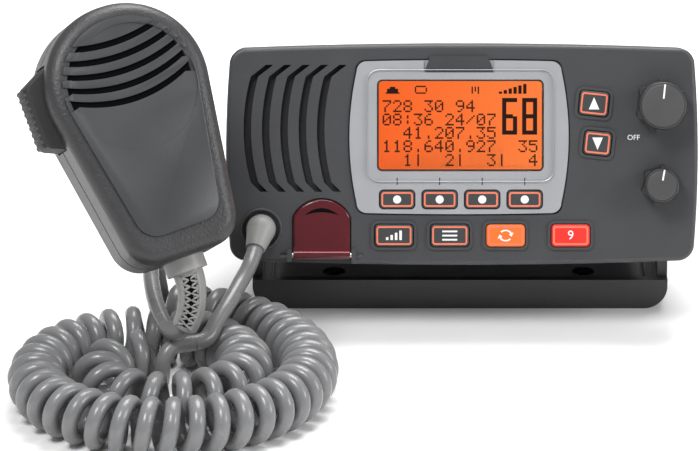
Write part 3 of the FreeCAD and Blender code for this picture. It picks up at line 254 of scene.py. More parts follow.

# The curly cord, wound by a formula, and its two free ends, laid through listed points
cordSetup = {"wire": 5.8, "curl": 7.8, "centre": (-108, -127.4), "outer": 58.8, "pitch": 22.6, "laps": 2.12,
             "gap": 0.75, "stepsEachCurl": 16, "sides": 12}
coilLift = cordSetup["curl"] + cordSetup["wire"] / 2
inward = cordSetup["pitch"] / (2 * math.pi)
curlRoom = cordSetup["wire"] + cordSetup["gap"]
fullSweep = cordSetup["laps"] * 2 * math.pi
sweepRoom = (cordSetup["outer"] - cordSetup["curl"]) * fullSweep - inward * fullSweep ** 2 / 2
curlCount = math.floor(sweepRoom / curlRoom) + 0.75


def curlPoint(curl):
    left = (curlCount - curl) / curlCount * sweepRoom
    start = cordSetup["outer"] - cordSetup["curl"]
    angle = (start - math.sqrt(max(start ** 2 - 2 * inward * left, 0))) / inward
    roll = (curl + 0.25) * 2 * math.pi
    radius = cordSetup["outer"] - inward * angle + cordSetup["curl"] * math.cos(roll)
    x, y = cordSetup["centre"]
    return Vector((x + radius * math.sin(angle), y + radius * math.cos(angle),
                   coilLift + cordSetup["curl"] * math.sin(roll)))


def heading(curl):
    return (curlPoint(curl + 0.0005) - curlPoint(curl - 0.0005)).normalized()


def readLine(name, route):
    curve = bpy.data.curves.new(name + "Line", "CURVE")
    curve.dimensions = "3D"
    curve.resolution_u = 4
    spline = curve.splines.new("NURBS")
    spline.points.add(len(route) - 1)
    for point, place in zip(spline.points, route):
        point.co = (*(Vector(place) * mm), 1)
    spline.order_u = 3
    spline.use_endpoint_u = True
    line = bpy.data.objects.new(name + "Line", curve)
    bpy.context.scene.collection.objects.link(line)
    bpy.context.view_layer.update()
    mesh = bpy.data.meshes.new_from_object(line)
    points = [v.co.copy() for v in mesh.vertices]
    bpy.data.objects.remove(line)
    bpy.data.meshes.remove(mesh)
    return points


def sweepTube(name, points, radius, sides):
    tube = bmesh.new()
    rings = []
    across = None
    run = 0.0
    uvs = tube.loops.layers.uv.new("UVMap")
    for i, point in enumerate(points):
        ahead = points[min(i + 1, len(points) - 1)] - points[max(i - 1, 0)]
        ahead.normalize()
        if across is None:
            across = ahead.orthogonal().normalized()
        across = (across - ahead * across.dot(ahead)).normalized()
        up = ahead.cross(across)
        if i:
            run += (point - points[i - 1]).length
        ring = [tube.verts.new(point + across * (radius * math.cos(2 * math.pi * s / sides))
                               + up * (radius * math.sin(2 * math.pi * s / sides))) for s in range(sides)]
        rings.append((ring, run))
    for (before, runBefore), (after, runAfter) in zip(rings, rings[1:]):
        for s in range(sides):
            t = (s + 1) % sides
            side = tube.faces.new((before[s], before[t], after[t], after[s]))
            corners = ((s, runBefore), (s + 1, runBefore), (s + 1, runAfter), (s, runAfter))
            for loop, (step, along) in zip(side.loops, corners):
                loop[uvs].uv = (step / sides, along / (2 * math.pi * radius))
    tube.faces.new(list(reversed(rings[0][0])))
    tube.faces.new(rings[-1][0])
    bmesh.ops.recalc_face_normals(tube, faces=tube.faces)
    mesh = bpy.data.meshes.new(name)
    tube.to_mesh(mesh)
    tube.free()
    piece = bpy.data.objects.new(name, mesh)
    bpy.context.scene.collection.objects.link(piece)
    choose(piece)
    bpy.ops.object.shade_smooth_by_angle(angle=math.radians(50))
    return piece


def lineLength(points):
    return sum((b - a).length for a, b in zip(points, points[1:]))


coilSteps = round(curlCount * cordSetup["stepsEachCurl"])
coilRoute = [curlPoint(curlCount * i / coilSteps) for i in range(coilSteps + 1)]
innerTip = coilRoute[0] - heading(0) * cordSetup["wire"]
outerTip = coilRoute[-1] + heading(curlCount) * cordSetup["wire"]
coilRoute = [innerTip] + coilRoute + [outerTip]
dropAim = Vector((-0.22, -0.8, -0.52)).normalized()
dropStart = Vector((-74.322, -73.734, 36.804))
dropRoute = [dropStart, dropStart + dropAim * 7, (-79, -91, 31.5), (-83, -102, 27.5), (-88, -110.5, 22.8),
             innerTip - heading(0) * 5, innerTip]
archAim = Vector((-0.5, 0.15, -1)).normalized()
archStart = Vector((-98.122, -125.282, 28.174))
archRoute = [archStart, archStart + archAim * 4, (-104, -121.5, 24.2), (-107.5, -111, 26.3),
             (-110, -99, 28.8), (-111.5, -87, 31.8), (-111.5, -75.5, 33), (-109.5, -65.5, 30.5),
             outerTip + heading(curlCount) * 7, outerTip]
cords = {}
for name, route in (("curlyCord", coilRoute), ("cordFromRadio", dropRoute), ("cordToMic", archRoute)):
    line = readLine(name, route)
    cords[name] = (sweepTube(name, line, cordSetup["wire"] / 2 * mm, cordSetup["sides"]), line)
    dress(cords[name][0], finishes["cord"])
    print(name, "length", round(lineLength(line), 3))
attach(cords["curlyCord"][0], "bracket")
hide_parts("cord_coil")
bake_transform(cords["cordFromRadio"][0])
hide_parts("cord_drop")
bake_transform(cords["cordToMic"][0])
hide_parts("cord_arch")
print("cords laid")


# Flat mouldings and frames, made in face millimetres and then set in place
def flatPiece(width, height, corner, thick, at, turn=0.0, frameWidth=0.0):
    deselect()
    bpy.ops.mesh.primitive_plane_add(size=1)
    piece = bpy.context.object
    piece.scale = (width * mm, height * mm, 1)
    bpy.ops.object.transform_apply(scale=True)
    bpy.ops.object.mode_set(mode="EDIT")
    bpy.ops.mesh.select_all(action="SELECT")
    if corner:
        bpy.ops.mesh.bevel(affect="VERTICES", offset=corner * mm, segments=5)
    if frameWidth:
        bpy.ops.mesh.select_all(action="SELECT")
        bpy.ops.mesh.inset(thickness=frameWidth * mm)
        bpy.ops.mesh.delete(type="FACE")
    bpy.ops.mesh.select_all(action="SELECT")
    bpy.ops.mesh.extrude_region_move(TRANSFORM_OT_translate={"value": (0, 0, thick * mm)})
    bpy.ops.mesh.select_all(action="SELECT")
    bpy.ops.mesh.normals_make_consistent(inside=False)
    bpy.ops.object.mode_set(mode="OBJECT")
    piece.location = Vector(at) * mm
    piece.rotation_euler = (0, 0, math.radians(turn))
    bpy.ops.object.transform_apply(location=True, rotation=True, scale=True)
    return piece


def flatShape(corners, thick, height):
    shape = bmesh.new()
    shape.faces.new([shape.verts.new((x * mm, y * mm, height * mm)) for x, y in corners])
    mesh = bpy.data.meshes.new("shape")
    shape.to_mesh(mesh)
    shape.free()
    piece = bpy.data.objects.new("shape", mesh)
    bpy.context.scene.collection.objects.link(piece)
    choose(piece)
    bpy.ops.object.mode_set(mode="EDIT")
    bpy.ops.mesh.select_all(action="SELECT")
    bpy.ops.mesh.extrude_region_move(TRANSFORM_OT_translate={"value": (0, 0, thick * mm)})
    bpy.ops.mesh.select_all(action="SELECT")
    bpy.ops.mesh.normals_make_consistent(inside=False)
    bpy.ops.object.mode_set(mode="OBJECT")
    return piece


textSetup = {"sizePerCapital": 1.38, "halfThick": 0.03}


def printText(words, height, at, place, body, material, name):
    deselect()
    bpy.ops.object.text_add()
    text = bpy.context.object
    text.data.body = words
    text.data.size = height * textSetup["sizePerCapital"] * mm
    text.data.align_x = "CENTER"
    text.data.align_y = "CENTER"
    text.data.extrude = textSetup["halfThick"] * mm
    text.data.resolution_u = 3
    text.location = Vector(at) * mm
    bpy.ops.object.convert(target="MESH")
    return finishPiece(bpy.context.object, name, place, body, material, 0)


# Silver surround: a raised rim that slopes down to the window
bezelSetup = {"width": 67.4, "height": 40.4, "x": -0.6, "y": 10.5, "corner": 4.4, "rise": 1.15, "lip": 0.8,
              "slope": 3.75, "drop": 1.75, "top": 35.85, "skin": 0.25, "soften": 0.18}
rim = flatPiece(bezelSetup["width"], bezelSetup["height"], bezelSetup["corner"], bezelSetup["rise"],
                (bezelSetup["x"], bezelSetup["y"], bezelSetup["top"]))
bpy.ops.object.mode_set(mode="EDIT")
bpy.ops.mesh.select_all(action="DESELECT")
shaped = bmesh.from_edit_mesh(rim.data)
for face in shaped.faces:
    face.select_set(abs(face.normal.z) > 0.9 and face.calc_center_median().z > bezelSetup["top"] * mm + 1e-5)
bmesh.update_edit_mesh(rim.data)
bpy.ops.mesh.inset(thickness=bezelSetup["lip"] * mm)
bpy.ops.mesh.inset(thickness=bezelSetup["slope"] * mm, depth=-bezelSetup["drop"] * mm)
bpy.ops.mesh.delete(type="FACE")
bpy.ops.mesh.select_all(action="DESELECT")
shaped = bmesh.from_edit_mesh(rim.data)
for face in shaped.faces:
    face.select_set(face.normal.z < -0.9)
bmesh.update_edit_mesh(rim.data)
bpy.ops.mesh.delete(type="FACE")
bpy.ops.object.mode_set(mode="OBJECT")
applyModifier(rim, "SOLIDIFY", thickness=bezelSetup["skin"] * mm, offset=-1)
applyModifier(rim, "BEVEL", width=bezelSetup["soften"] * mm, segments=2, limit_method="ANGLE",
              angle_limit=math.radians(25))
finishPiece(rim, "displaySurround", facePlace, "radio", finishes["silver"], 35)
print("surround shaped")

# Display: dot characters, tall digits, bars and small signs, all plain numbers
# Each character is seven rows of five dots, with two hexadecimal digits to a row
dotRows = {"0": "0E11131519110E", "1": "040C040404040E", "2": "0E11010204081F", "3": "1F02040201110E",
           "4": "02060A121F0202", "5": "1F101E0101110E", "6": "0608101E11110E", "7": "1F010204080808",
           "8": "0E11110E11110E", "9": "0E11110F01020C", ":": "00040400040400", ".": "00000000000404",
           "/": "00010204081000", "|": "04040404040404"}
displaySetup = {"dot": 0.6, "pitch": 0.62, "step": 3.76, "left": -28.6, "level": 35.24, "thick": 0.04,
                "rows": ((19.0, "728 30 94"), (14.2, "08:36 24/07"), (9.4, "  41.207.35"),
                         (4.6, "118.640.927  35"), (-0.4, "  1|  2|  3|  4")),
                "signs": ((-27.5, 21.9, 5, 0.5), (-27, 22.4, 4, 1.3), (-26, 23.7, 2, 0.7),
                          (-16.6, 21.9, 3.6, 0.5), (-16.6, 24.3, 3.6, 0.5), (-17, 22.4, 0.5, 2),
                          (-13.1, 22.6, 0.5, 1.5), (3.4, 21.9, 0.5, 2.6), (4.5, 22.7, 0.5, 1.8),
                          (5.6, 21.9, 0.5, 2.6))}
dots = bmesh.new()


def addBox(mesh, x, y, width, height):
    low, high = displaySetup["level"] * mm, (displaySetup["level"] + displaySetup["thick"]) * mm
    spots = [(x, y), (x + width, y), (x + width, y + height), (x, y + height)]
    under = [mesh.verts.new((a * mm, b * mm, low)) for a, b in spots]
    over = [mesh.verts.new((a * mm, b * mm, high)) for a, b in spots]
    mesh.faces.new(list(reversed(under)))
    mesh.faces.new(over)
    for i in range(4):
        j = (i + 1) % 4
        mesh.faces.new((under[i], under[j], over[j], over[i]))


for rowTop, words in displaySetup["rows"]:
    for place, letter in enumerate(words):
        if letter == " ":
            continue
        code = dotRows[letter]
        letterLeft = displaySetup["left"] + place * displaySetup["step"]
        for row in range(7):
            bits = int(code[2 * row:2 * row + 2], 16)
            for column in range(5):
                if bits & (16 >> column):
                    addBox(dots, letterLeft + column * displaySetup["pitch"],
                           rowTop - row * displaySetup["pitch"], displaySetup["dot"], displaySetup["dot"])
tallDigits = {"strokes": {"6": "acdefg", "8": "abcdefg"}, "width": 5.4, "height": 13.2, "bar": 1.5,
              "top": 20.4, "lefts": ((14.4, "6"), (21.6, "8"))}
for left, digit in tallDigits["lefts"]:
    wide, tall, bar = tallDigits["width"], tallDigits["height"], tallDigits["bar"]
    foot = tallDigits["top"] - tall
    middle = foot + tall / 2
    right = left + wide - bar
    side = tall / 2 - bar
    strokes = {"a": (left, foot + tall - bar, wide, bar), "b": (right, middle, bar, side),
               "c": (right, foot + bar, bar, side), "d": (left, foot, wide, bar),
               "e": (left, foot + bar, bar, side), "f": (left, middle, bar, side),
               "g": (left + bar, middle - bar / 2, wide - 2 * bar, bar)}
    for stroke in tallDigits["strokes"][digit]:
        addBox(dots, *strokes[stroke])
signalSetup = {"bars": 6, "left": 13.2, "pitch": 1.75, "foot": 21.9, "wide": 1.2, "low": 0.8, "rise": 0.55}
for i in range(signalSetup["bars"]):
    addBox(dots, signalSetup["left"] + i * signalSetup["pitch"], signalSetup["foot"], signalSetup["wide"],
           signalSetup["low"] + i * signalSetup["rise"])
for x, y, wide, tall in displaySetup["signs"]:
    addBox(dots, x, y, wide, tall)
inkMesh = bpy.data.meshes.new("displayMarks")
dots.to_mesh(inkMesh)
dots.free()
inkMarks = bpy.data.objects.new("displayMarks", inkMesh)
bpy.context.scene.collection.objects.link(inkMarks)
finishPiece(inkMarks, "displayMarks", facePlace, "radio", finishes["ink"], 0)
print("display drawn")

# Keys: printed borders, light dots, arrows and plain signs. Each key has x, y, width, height and turn
keySetup = {"top": 36.2, "print": 0.07, "border": 0.6, "edge": 1.3, "corner": 1.1, "sunk": 0.02,
            "raised": 0.03}
softSetup = {"middle": -0.4, "pitch": 15.3, "y": -16.1, "width": 12.6, "height": 6.6, "dot": 1.45}
softKeys = {f"soft_key_{i + 1}": (softSetup["middle"] + (i - 1.5) * softSetup["pitch"], softSetup["y"],
                                  softSetup["width"], softSetup["height"], 0) for i in range(4)}
lowKeys = {"power_level_key": (-24.5, -29.1, 13.9, 8, 0), "menu_key": (-4.4, -29.1, 13.9, 8, 0),
           "recall_key": (15.7, -29.1, 13.9, 8, 0), "priority_key": (39.1, -29.1, 13.9, 8, 0)}
channelKeys = {"channel_up_key": (47.4, 18.4, 10.7, 8.8, -6), "channel_down_key": (48.7, 4.1, 9.9, 8.6, -6)}
for key, (x, y, width, height, turn) in {**softKeys, **lowKeys, **channelKeys}.items():
    border = flatPiece(width - keySetup["edge"], height - keySetup["edge"], keySetup["corner"],
                       keySetup["print"], (x, y, keySetup["top"] - keySetup["sunk"]), turn,
                       keySetup["border"])
    finishPiece(border, key + "_border", facePlace, key, finishes["salmon"], 0)
tickSetup = {"width": 0.35, "height": 2.6, "thick": 0.05, "y": -9.6, "level": 35.88}
for key, (x, y, width, height, turn) in softKeys.items():
    deselect()
    bpy.ops.mesh.primitive_cylinder_add(vertices=24, radius=softSetup["dot"] * mm,
                                        depth=keySetup["print"] * mm,
                                        location=Vector((x, y, keySetup["top"] + keySetup["raised"])) * mm)
    dot = bpy.context.object
    finishPiece(dot, key + "_dot", facePlace, key, finishes["white"], 0)
    tick = flatPiece(tickSetup["width"], tickSetup["height"], 0, tickSetup["thick"],
                     (x, tickSetup["y"], tickSetup["level"]))
    finishPiece(tick, key + "_tick", facePlace, "radio", finishes["dark"], 0)
arrowSetup = {"half": 1.9, "back": 2.1, "tip": 2.3}
for key, pointing in (("channel_up_key", 1), ("channel_down_key", -1)):
    x, y = channelKeys[key][:2]
    tail = y - arrowSetup["back"] * pointing
    arrow = flatShape([(x - arrowSetup["half"], tail), (x + arrowSetup["half"], tail),
                       (x, y + arrowSetup["tip"] * pointing)], keySetup["print"], keySetup["top"])
    finishPiece(arrow, key + "_arrow", facePlace, key, finishes["white"], 0)
menuSetup = {"width": 5.4, "height": 0.6, "pitch": 1.5}
x, y = lowKeys["menu_key"][:2]
for i in range(3):
    line = flatPiece(menuSetup["width"], menuSetup["height"], 0, keySetup["print"],
                     (x, y + (i - 1) * menuSetup["pitch"], keySetup["top"]))
    finishPiece(line, f"menu_line_{i + 1}", facePlace, "menu_key", finishes["white"], 0)
barSetup = {"width": 0.9, "low": 1, "rise": 0.8, "left": -2.4, "pitch": 1.6, "foot": -1.6}
x, y = lowKeys["power_level_key"][:2]
for i in range(4):
    tall = barSetup["low"] + i * barSetup["rise"]
    bar = flatPiece(barSetup["width"], tall, 0, keySetup["print"],
                    (x + barSetup["left"] + i * barSetup["pitch"], y + barSetup["foot"] + tall / 2,
                     keySetup["top"]))
    finishPiece(bar, f"power_bar_{i + 1}", facePlace, "power_level_key", finishes["white"], 0)
turnSetup = {"outer": 2.5, "inner": 1.9, "squash": 0.85, "head": ((1.2, 25), (3.2, 25), (2.2, -12))}


def turnPoint(centre, radius, angle):
    way = math.radians(angle)
    return (centre[0] + radius * math.cos(way), centre[1] + radius * turnSetup["squash"] * math.sin(way))


recallCentre = lowKeys["recall_key"][:2]
for side in (0, 180):
    arc = [turnPoint(recallCentre, turnSetup["outer"], a + side) for a in range(20, 141, 20)]
    arc += [turnPoint(recallCentre, turnSetup["inner"], a + side) for a in range(140, 19, -20)]
    bend = flatShape(arc, keySetup["print"], keySetup["top"])
    head = [turnPoint(recallCentre, radius, a + side) for radius, a in turnSetup["head"]]
    tip = flatShape(head, keySetup["print"], keySetup["top"])
    finishPiece(joinPieces([bend, tip], "arrow"), f"recall_arrow_{side}", facePlace, "recall_key",
                finishes["white"], 0)
markSetup = {"number": 3.4, "off": 1.9, "offAt": (61.7, 6.1, 35.03)}
x, y = lowKeys["priority_key"][:2]
printText("9", markSetup["number"], (x, y, keySetup["top"] + keySetup["raised"]), facePlace, "priority_key",
          finishes["white"], "priority_number")
printText("OFF", markSetup["off"], markSetup["offAt"], facePlace, "radio", finishes["white"],
          "off_mark")
print("keys printed")

# Knobs: a round cap with a light pointer on each. Each knob has x, y, radius, top and the pointer's angle
knobSetup = {"volume": (71.5, 18, 8.5, 47.5, 84), "squelch": (71.3, -10.6, 6.2, 46, 80)}
capSetup = {"edge": 0.9, "thick": 0.5, "rise": 0.15, "soften": 0.3}
pointerSetup = {"reach": 0.62, "middle": 0.6, "width": 0.6, "corner": 0.25, "thick": 0.12, "rise": 0.36}
for name, (x, y, radius, top, angle) in knobSetup.items():
    deselect()
    bpy.ops.mesh.primitive_cylinder_add(vertices=48, radius=(radius - capSetup["edge"]) * mm,
                                        depth=capSetup["thick"] * mm,
                                        location=Vector((x, y, top + capSetup["rise"])) * mm)
    cap = bpy.context.object
    applyModifier(cap, "BEVEL", width=capSetup["soften"] * mm, segments=3, limit_method="ANGLE")
    # The lighter cap paints the highlight on the knob's top
    finishPiece(cap, name + "_cap", facePlace, name, finishes["knobTopHighlight"], 40)
    middle = radius * pointerSetup["middle"]
    way = math.radians(angle)
    pointer = flatPiece(radius * pointerSetup["reach"], pointerSetup["width"], pointerSetup["corner"],
                        pointerSetup["thick"],
                        (x + middle * math.cos(way), y + middle * math.sin(way), top + pointerSetup["rise"]),
                        angle)
    finishPiece(pointer, name + "_pointer", facePlace, name, finishes["white"], 0)
print("knobs finished")

# Flap over the distress key: a dark crescent of painted shade where the finger scoop lies under its arch, and
# a strip of painted highlight along its hinge
flapSetup = {"x": -50.5, "top": 36.22, "arch": -19.2, "half": 6.2, "steps": 8, "upperDip": 2.6, "gap": 1.5,
             "lowerDip": 1.1, "thick": 0.06, "sunk": 0.02}
shares = [t / flapSetup["steps"] for t in range(-flapSetup["steps"], flapSetup["steps"] + 1)]
crescent = [(flapSetup["x"] + flapSetup["half"] * share,
             flapSetup["arch"] - flapSetup["upperDip"] * share ** 2) for share in shares]
crescent += [(flapSetup["x"] + flapSetup["half"] * share,
              flapSetup["arch"] - flapSetup["gap"] - flapSetup["lowerDip"] * share ** 2)
             for share in reversed(shares[1:-1])]
# Dark crescent: painted shade of the finger scoop
scoopShade = flatShape(crescent, flapSetup["thick"], flapSetup["top"] - flapSetup["sunk"])
finishPiece(scoopShade, "flapScoopShade", facePlace, "flap", finishes["dark"], 0)
# Brighter red strip along the hinge: a painted highlight
stripSetup = {"width": 19.6, "height": 0.9, "corner": 0.3, "thick": 0.3, "y": -35.2, "sunk": 0.1}
highlightStrip = flatPiece(stripSetup["width"], stripSetup["height"], stripSetup["corner"], stripSetup["thick"],
                  (flapSetup["x"], stripSetup["y"], flapSetup["top"] - stripSetup["sunk"]))
finishPiece(highlightStrip, "flapHighlightStrip", facePlace, "flap", finishes["redGlow"], 0)
print("flap finished")

# Small fittings: a collar round the cord boot, and screws on the back of the cover's rim
collarSetup = {"x": -72.3, "y": -26.8, "level": 35.0, "radius": 7.1, "thick": 0.55}
collarPlace = Vector((collarSetup["x"], collarSetup["y"], collarSetup["level"])) * mm
deselect()
bpy.ops.mesh.primitive_torus_add(major_segments=64, minor_segments=10,
                                 major_radius=collarSetup["radius"] * mm,
                                 minor_radius=collarSetup["thick"] * mm,
                                 location=collarPlace)
finishPiece(bpy.context.object, "bootCollar", facePlace, "radio", finishes["faceplate"], 60)
screwSetup = {"spots": ((-76, 31), (0, 37.2), (76, 31), (-76, -31), (0, -36.6), (76, -31)), "level": 13.55,
              "radius": 1.9, "tall": 0.9, "slot": 0.45, "slotLong": 2.6, "slotDeep": 0.6, "slotDrop": 0.2,
              "soften": 0.15}
screws = []
for x, y in screwSetup["spots"]:
    deselect()
    bpy.ops.mesh.primitive_cylinder_add(vertices=28, radius=screwSetup["radius"] * mm,
                                        depth=screwSetup["tall"] * mm,
                                        location=Vector((x, y, screwSetup["level"])) * mm)
    screw = bpy.context.object
    bpy.ops.object.transform_apply(location=True)
    slotLevel = screwSetup["level"] - screwSetup["tall"] / 2 - screwSetup["slotDrop"]
    for turn in (0, 90):
        blade = flatPiece(screwSetup["slotLong"], screwSetup["slot"], 0, screwSetup["slotDeep"],
                          (x, y, slotLevel), turn)
        cutWith(screw, blade)
    applyModifier(screw, "BEVEL", width=screwSetup["soften"] * mm, segments=2, limit_method="ANGLE")
    screws.append(screw)
finishPiece(joinPieces(screws, "screws"), "coverScrews", facePlace, "radio",
            finishes["steel"], 40)
print("fittings placed")

# Microphone front: a smooth panel with smiling louvres, over a dark sheet of painted shade that blackens the
# louvre gaps
micSizes = {"head": 34.5, "foot": 19.6, "long": 90, "crownDrop": 1.5, "footY": -3.5, "crownShare": 0.98,
            "footRadius": 11, "footShrink": 0.6}
panelSetup = {"inset": 5.3, "below": 4, "floor": 15.0, "thick": 0.8, "past": 1, "soften": 0.2}
louvreShadeSetup = {"inset": 7.2, "below": 6, "level": 14.02, "thick": 0.1}
louvreSetup = {"count": 5, "top": 76, "pitch": 5.2, "gap": 2.3, "dip": 5.4, "steps": 10, "wide": 25.6,
               "wideCount": 2, "narrow": 24.9, "shrink": 0.9, "lowerShare": 0.97, "cornerOut": 1.1,
               "cornerDown": 2}


def roundLoop(corners, radii, steps=14):
    spots = []
    for i, (corner, radius) in enumerate(zip(corners, radii)):
        here = Vector(corner)
        back = (Vector(corners[i - 1]) - here).normalized()
        ahead = (Vector(corners[(i + 1) % len(corners)]) - here).normalized()
        half = back.angle(ahead) / 2
        centre = here + (back + ahead).normalized() * (radius / math.sin(half))
        start, end = here + back * (radius / math.tan(half)), here + ahead * (radius / math.tan(half))
        first = math.atan2(start.y - centre.y, start.x - centre.x)
        swing = math.atan2(end.y - centre.y, end.x - centre.x) - first
        swing = (swing + math.pi) % (2 * math.pi) - math.pi
        spots += [(centre.x + radius * math.cos(first + swing * s / steps),
                   centre.y + radius * math.sin(first + swing * s / steps)) for s in range(steps + 1)]
    return spots


def micLoop(inset, below):
    head, foot = micSizes["head"] - inset, micSizes["foot"] - inset
    top, bottom = micSizes["long"] - micSizes["crownDrop"] - inset, micSizes["footY"] + inset + below
    halfCorner = (math.pi / 2 - math.atan2(head - foot, top - bottom)) / 2
    crown = micSizes["crownShare"] * head * math.tan(halfCorner)
    heel = micSizes["footRadius"] - inset * micSizes["footShrink"]
    return roundLoop([(head, top), (-head, top), (-foot, bottom), (foot, bottom)], [crown, crown, heel, heel])


def louvreShape(i):
    y = louvreSetup["top"] - i * louvreSetup["pitch"]
    half = louvreSetup["wide"]
    if i >= louvreSetup["wideCount"]:
        half = louvreSetup["narrow"] - (i - louvreSetup["wideCount"]) * louvreSetup["shrink"]
    steps = louvreSetup["steps"]
    upper = [(half * t / steps, y + louvreSetup["dip"] * (t / steps) ** 2) for t in range(-steps, steps + 1)]
    lower = [(a * louvreSetup["lowerShare"], b - louvreSetup["gap"]) for a, b in reversed(upper)]
    if i >= louvreSetup["wideCount"]:
        lower[0] = (lower[0][0] + louvreSetup["cornerOut"], lower[0][1] - louvreSetup["cornerDown"])
        lower[-1] = (lower[-1][0] - louvreSetup["cornerOut"], lower[-1][1] - louvreSetup["cornerDown"])
    return upper + lower


panel = flatShape(micLoop(panelSetup["inset"], panelSetup["below"]), panelSetup["thick"], panelSetup["floor"])
for i in range(louvreSetup["count"]):
    groove = flatShape(louvreShape(i), panelSetup["thick"] + 2 * panelSetup["past"],
                       panelSetup["floor"] - panelSetup["past"])
    cutWith(panel, groove)
scoopSetup = {"x": 1, "y": 58, "radius": 22.5, "deep": 0.5, "tall": 2}
scoopLevel = panelSetup["floor"] + panelSetup["thick"] - scoopSetup["deep"] + scoopSetup["tall"] / 2
deselect()
bpy.ops.mesh.primitive_cylinder_add(vertices=96, radius=scoopSetup["radius"] * mm,
                                    depth=scoopSetup["tall"] * mm,
                                    location=Vector((scoopSetup["x"], scoopSetup["y"], scoopLevel)) * mm)
scoopCutter = bpy.context.object
bpy.ops.object.transform_apply(location=True)
cutWith(panel, scoopCutter)
applyModifier(panel, "BEVEL", width=panelSetup["soften"] * mm, segments=2, limit_method="ANGLE",
              angle_limit=math.radians(40))
finishPiece(panel, "micPanel", micPlace, "microphone", finishes["micSmooth"], 35)
# Dark sheet on the groove floors: painted shade in the louvre gaps
louvreShade = flatShape(micLoop(louvreShadeSetup["inset"], louvreShadeSetup["below"]), louvreShadeSetup["thick"], louvreShadeSetup["level"])
finishPiece(louvreShade, "micLouvreShade", micPlace, "microphone", finishes["dark"], 0)
print("microphone louvres cut")

# Grip bumps on the talk button's outer edge
pttSetup = {"x": -33.8, "first": 49.6, "pitch": 2.5, "bumps": 9, "radius": 1.05, "half": 5.2, "soften": 0.5}
bumps = []
for i in range(pttSetup["bumps"]):
    deselect()
    bumpPlace = Vector((pttSetup["x"], pttSetup["first"] + i * pttSetup["pitch"], 0)) * mm
    bpy.ops.mesh.primitive_cylinder_add(vertices=20, radius=pttSetup["radius"] * mm,
                                        depth=2 * pttSetup["half"] * mm, location=bumpPlace)
    bump = bpy.context.object
    applyModifier(bump, "BEVEL", width=pttSetup["soften"] * mm, segments=2, limit_method="ANGLE")
    bumps.append(bump)
finishPiece(joinPieces(bumps, "grip"), "pttGrip", micPlace, "ptt", finishes["rubber"], 40)
print("talk button gripped")

# Lattice window on the microphone's strain relief, which bends from the microphone's foot to the cord. The
# window is a dark skin of painted shade for the openings under the lattice
bootSetup = {"collar": 5, "long": 20, "radius": 5.35, "taper": 0.8, "front": (0, -0.93, 0.36)}
windowSetup = {"from": 1.5, "long": 17, "steps": 12, "across": (-3.1, -1.5, 0, 1.5, 3.1), "out": 0.06,
               "skin": 0.1}
latticeSetup = {"cells": 4, "half": 2.7, "bar": 0.6, "out": 0.2}
railSetup = {"from": 1, "long": 18, "steps": 12, "side": 3.2, "radius": 0.65, "out": 0.15}
leave = (micTurn @ Vector((0, -1, 0))).normalized()
bootTop = Vector(micSetup["foot"]) + micTurn @ Vector((0, micSizes["footY"], 0)) + leave * bootSetup["collar"]
bend = leave.angle(archAim)
inwardWay = (archAim - leave * archAim.dot(leave)).normalized()
bendRadius = bootSetup["long"] / bend
bootCentre = bootTop + inwardWay * bendRadius


def bootSpot(along, sideways, out):
    turn = bend * along / bootSetup["long"]
    spot = bootCentre - inwardWay * (bendRadius * math.cos(turn)) + leave * (bendRadius * math.sin(turn))
    tangent = inwardWay * math.sin(turn) + leave * math.cos(turn)
    front = Vector(bootSetup["front"])
    front = (front - tangent * front.dot(tangent)).normalized()
    side = tangent.cross(front)
    swing = sideways / bootSetup["radius"]
    radius = bootSetup["radius"] - bootSetup["taper"] * along / bootSetup["long"] + out
    return (spot + front * (radius * math.cos(swing)) + side * (radius * math.sin(swing))) * mm
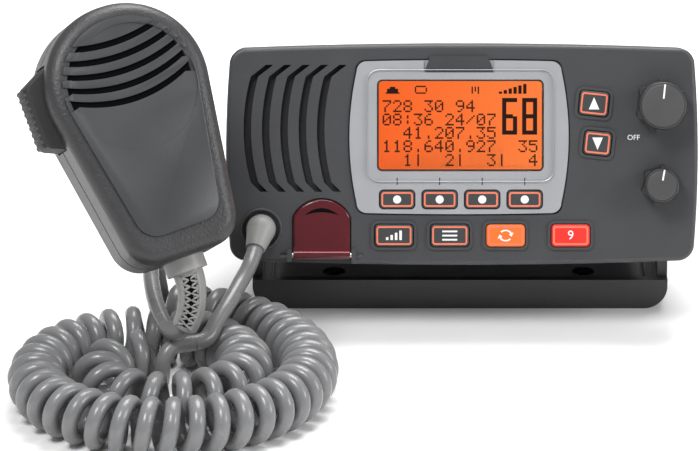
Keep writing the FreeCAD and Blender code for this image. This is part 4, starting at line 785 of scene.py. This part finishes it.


# Dark skin under the lattice: painted shade in its openings
window = bmesh.new()
lines = []
for a in range(windowSetup["steps"] + 1):
    along = windowSetup["from"] + windowSetup["long"] * a / windowSetup["steps"]
    lines.append([window.verts.new(bootSpot(along, w, windowSetup["out"])) for w in windowSetup["across"]])
for before, after in zip(lines, lines[1:]):
    for i in range(len(windowSetup["across"]) - 1):
        window.faces.new((before[i], before[i + 1], after[i + 1], after[i]))
mesh = bpy.data.meshes.new("bootWindowShade")
bmesh.ops.recalc_face_normals(window, faces=window.faces)
window.to_mesh(mesh)
window.free()
bootWindowShade = bpy.data.objects.new("bootWindowShade", mesh)
bpy.context.scene.collection.objects.link(bootWindowShade)
applyModifier(bootWindowShade, "SOLIDIFY", thickness=windowSetup["skin"] * mm, offset=0)
finishPiece(bootWindowShade, "bootWindowShade", Matrix.Identity(4), "microphone", finishes["dark"], 40)
cell = windowSetup["long"] / latticeSetup["cells"]
bars = []
for sign in (-1, 1):
    zigzag = [bootSpot(windowSetup["from"] + cell * i / 2, sign * latticeSetup["half"] * (1 if i % 2 else -1),
                       latticeSetup["out"]) for i in range(2 * latticeSetup["cells"] + 1)]
    fine = [a.lerp(b, t / 4) for a, b in zip(zigzag, zigzag[1:]) for t in range(4)] + [zigzag[-1]]
    bars.append(sweepTube("bars", fine, latticeSetup["bar"] * mm, 8))
for sign in (-1, 1):
    rail = [bootSpot(railSetup["from"] + railSetup["long"] * i / railSetup["steps"], sign * railSetup["side"],
                     railSetup["out"]) for i in range(railSetup["steps"] + 1)]
    bars.append(sweepTube("rail", rail, railSetup["radius"] * mm, 8))
finishPiece(joinPieces(bars, "lattice"), "bootLattice", Matrix.Identity(4), "microphone",
            finishes["boot"], 50)
print("strain relief finished")

# Pale floor, three area lamps and an even white surrounding, in metres and watts
bpy.ops.mesh.primitive_plane_add(size=6, location=(0, 0, 0))
floor = bpy.context.object
floor.name = "paleFloor"
floorPaint = addGrain(newMaterial("floorPaint", (0.86, 0.86, 0.86), 0.8), 40, 0.0001, 0.05, 0.01)
dress(floor, floorPaint)
lampAim = Vector((-0.04, -0.06, 0.04))
lamps = {"key": ((-0.5, -0.9, 1.3), 0.5, 17), "fill": ((1.2, -0.7, 0.7), 0.6, 10),
         "top": ((0.1, 0.35, 1.1), 0.7, 16)}
for name, (place, size, power) in lamps.items():
    bpy.ops.object.light_add(type="AREA", location=place)
    lamp = bpy.context.object
    lamp.name = name + "Lamp"
    lamp.data.energy = power
    lamp.data.size = size
    lamp.rotation_euler = (lampAim - Vector(place)).to_track_quat("-Z", "Y").to_euler()
world = bpy.data.worlds.new("studio")
bpy.context.scene.world = world
world.use_nodes = True
world.node_tree.nodes["Background"].inputs["Color"].default_value = (1, 1, 1, 1)
world.node_tree.nodes["Background"].inputs["Strength"].default_value = 0.42
bpy.context.scene.view_settings.view_transform = "Standard"
print("floor and light set")
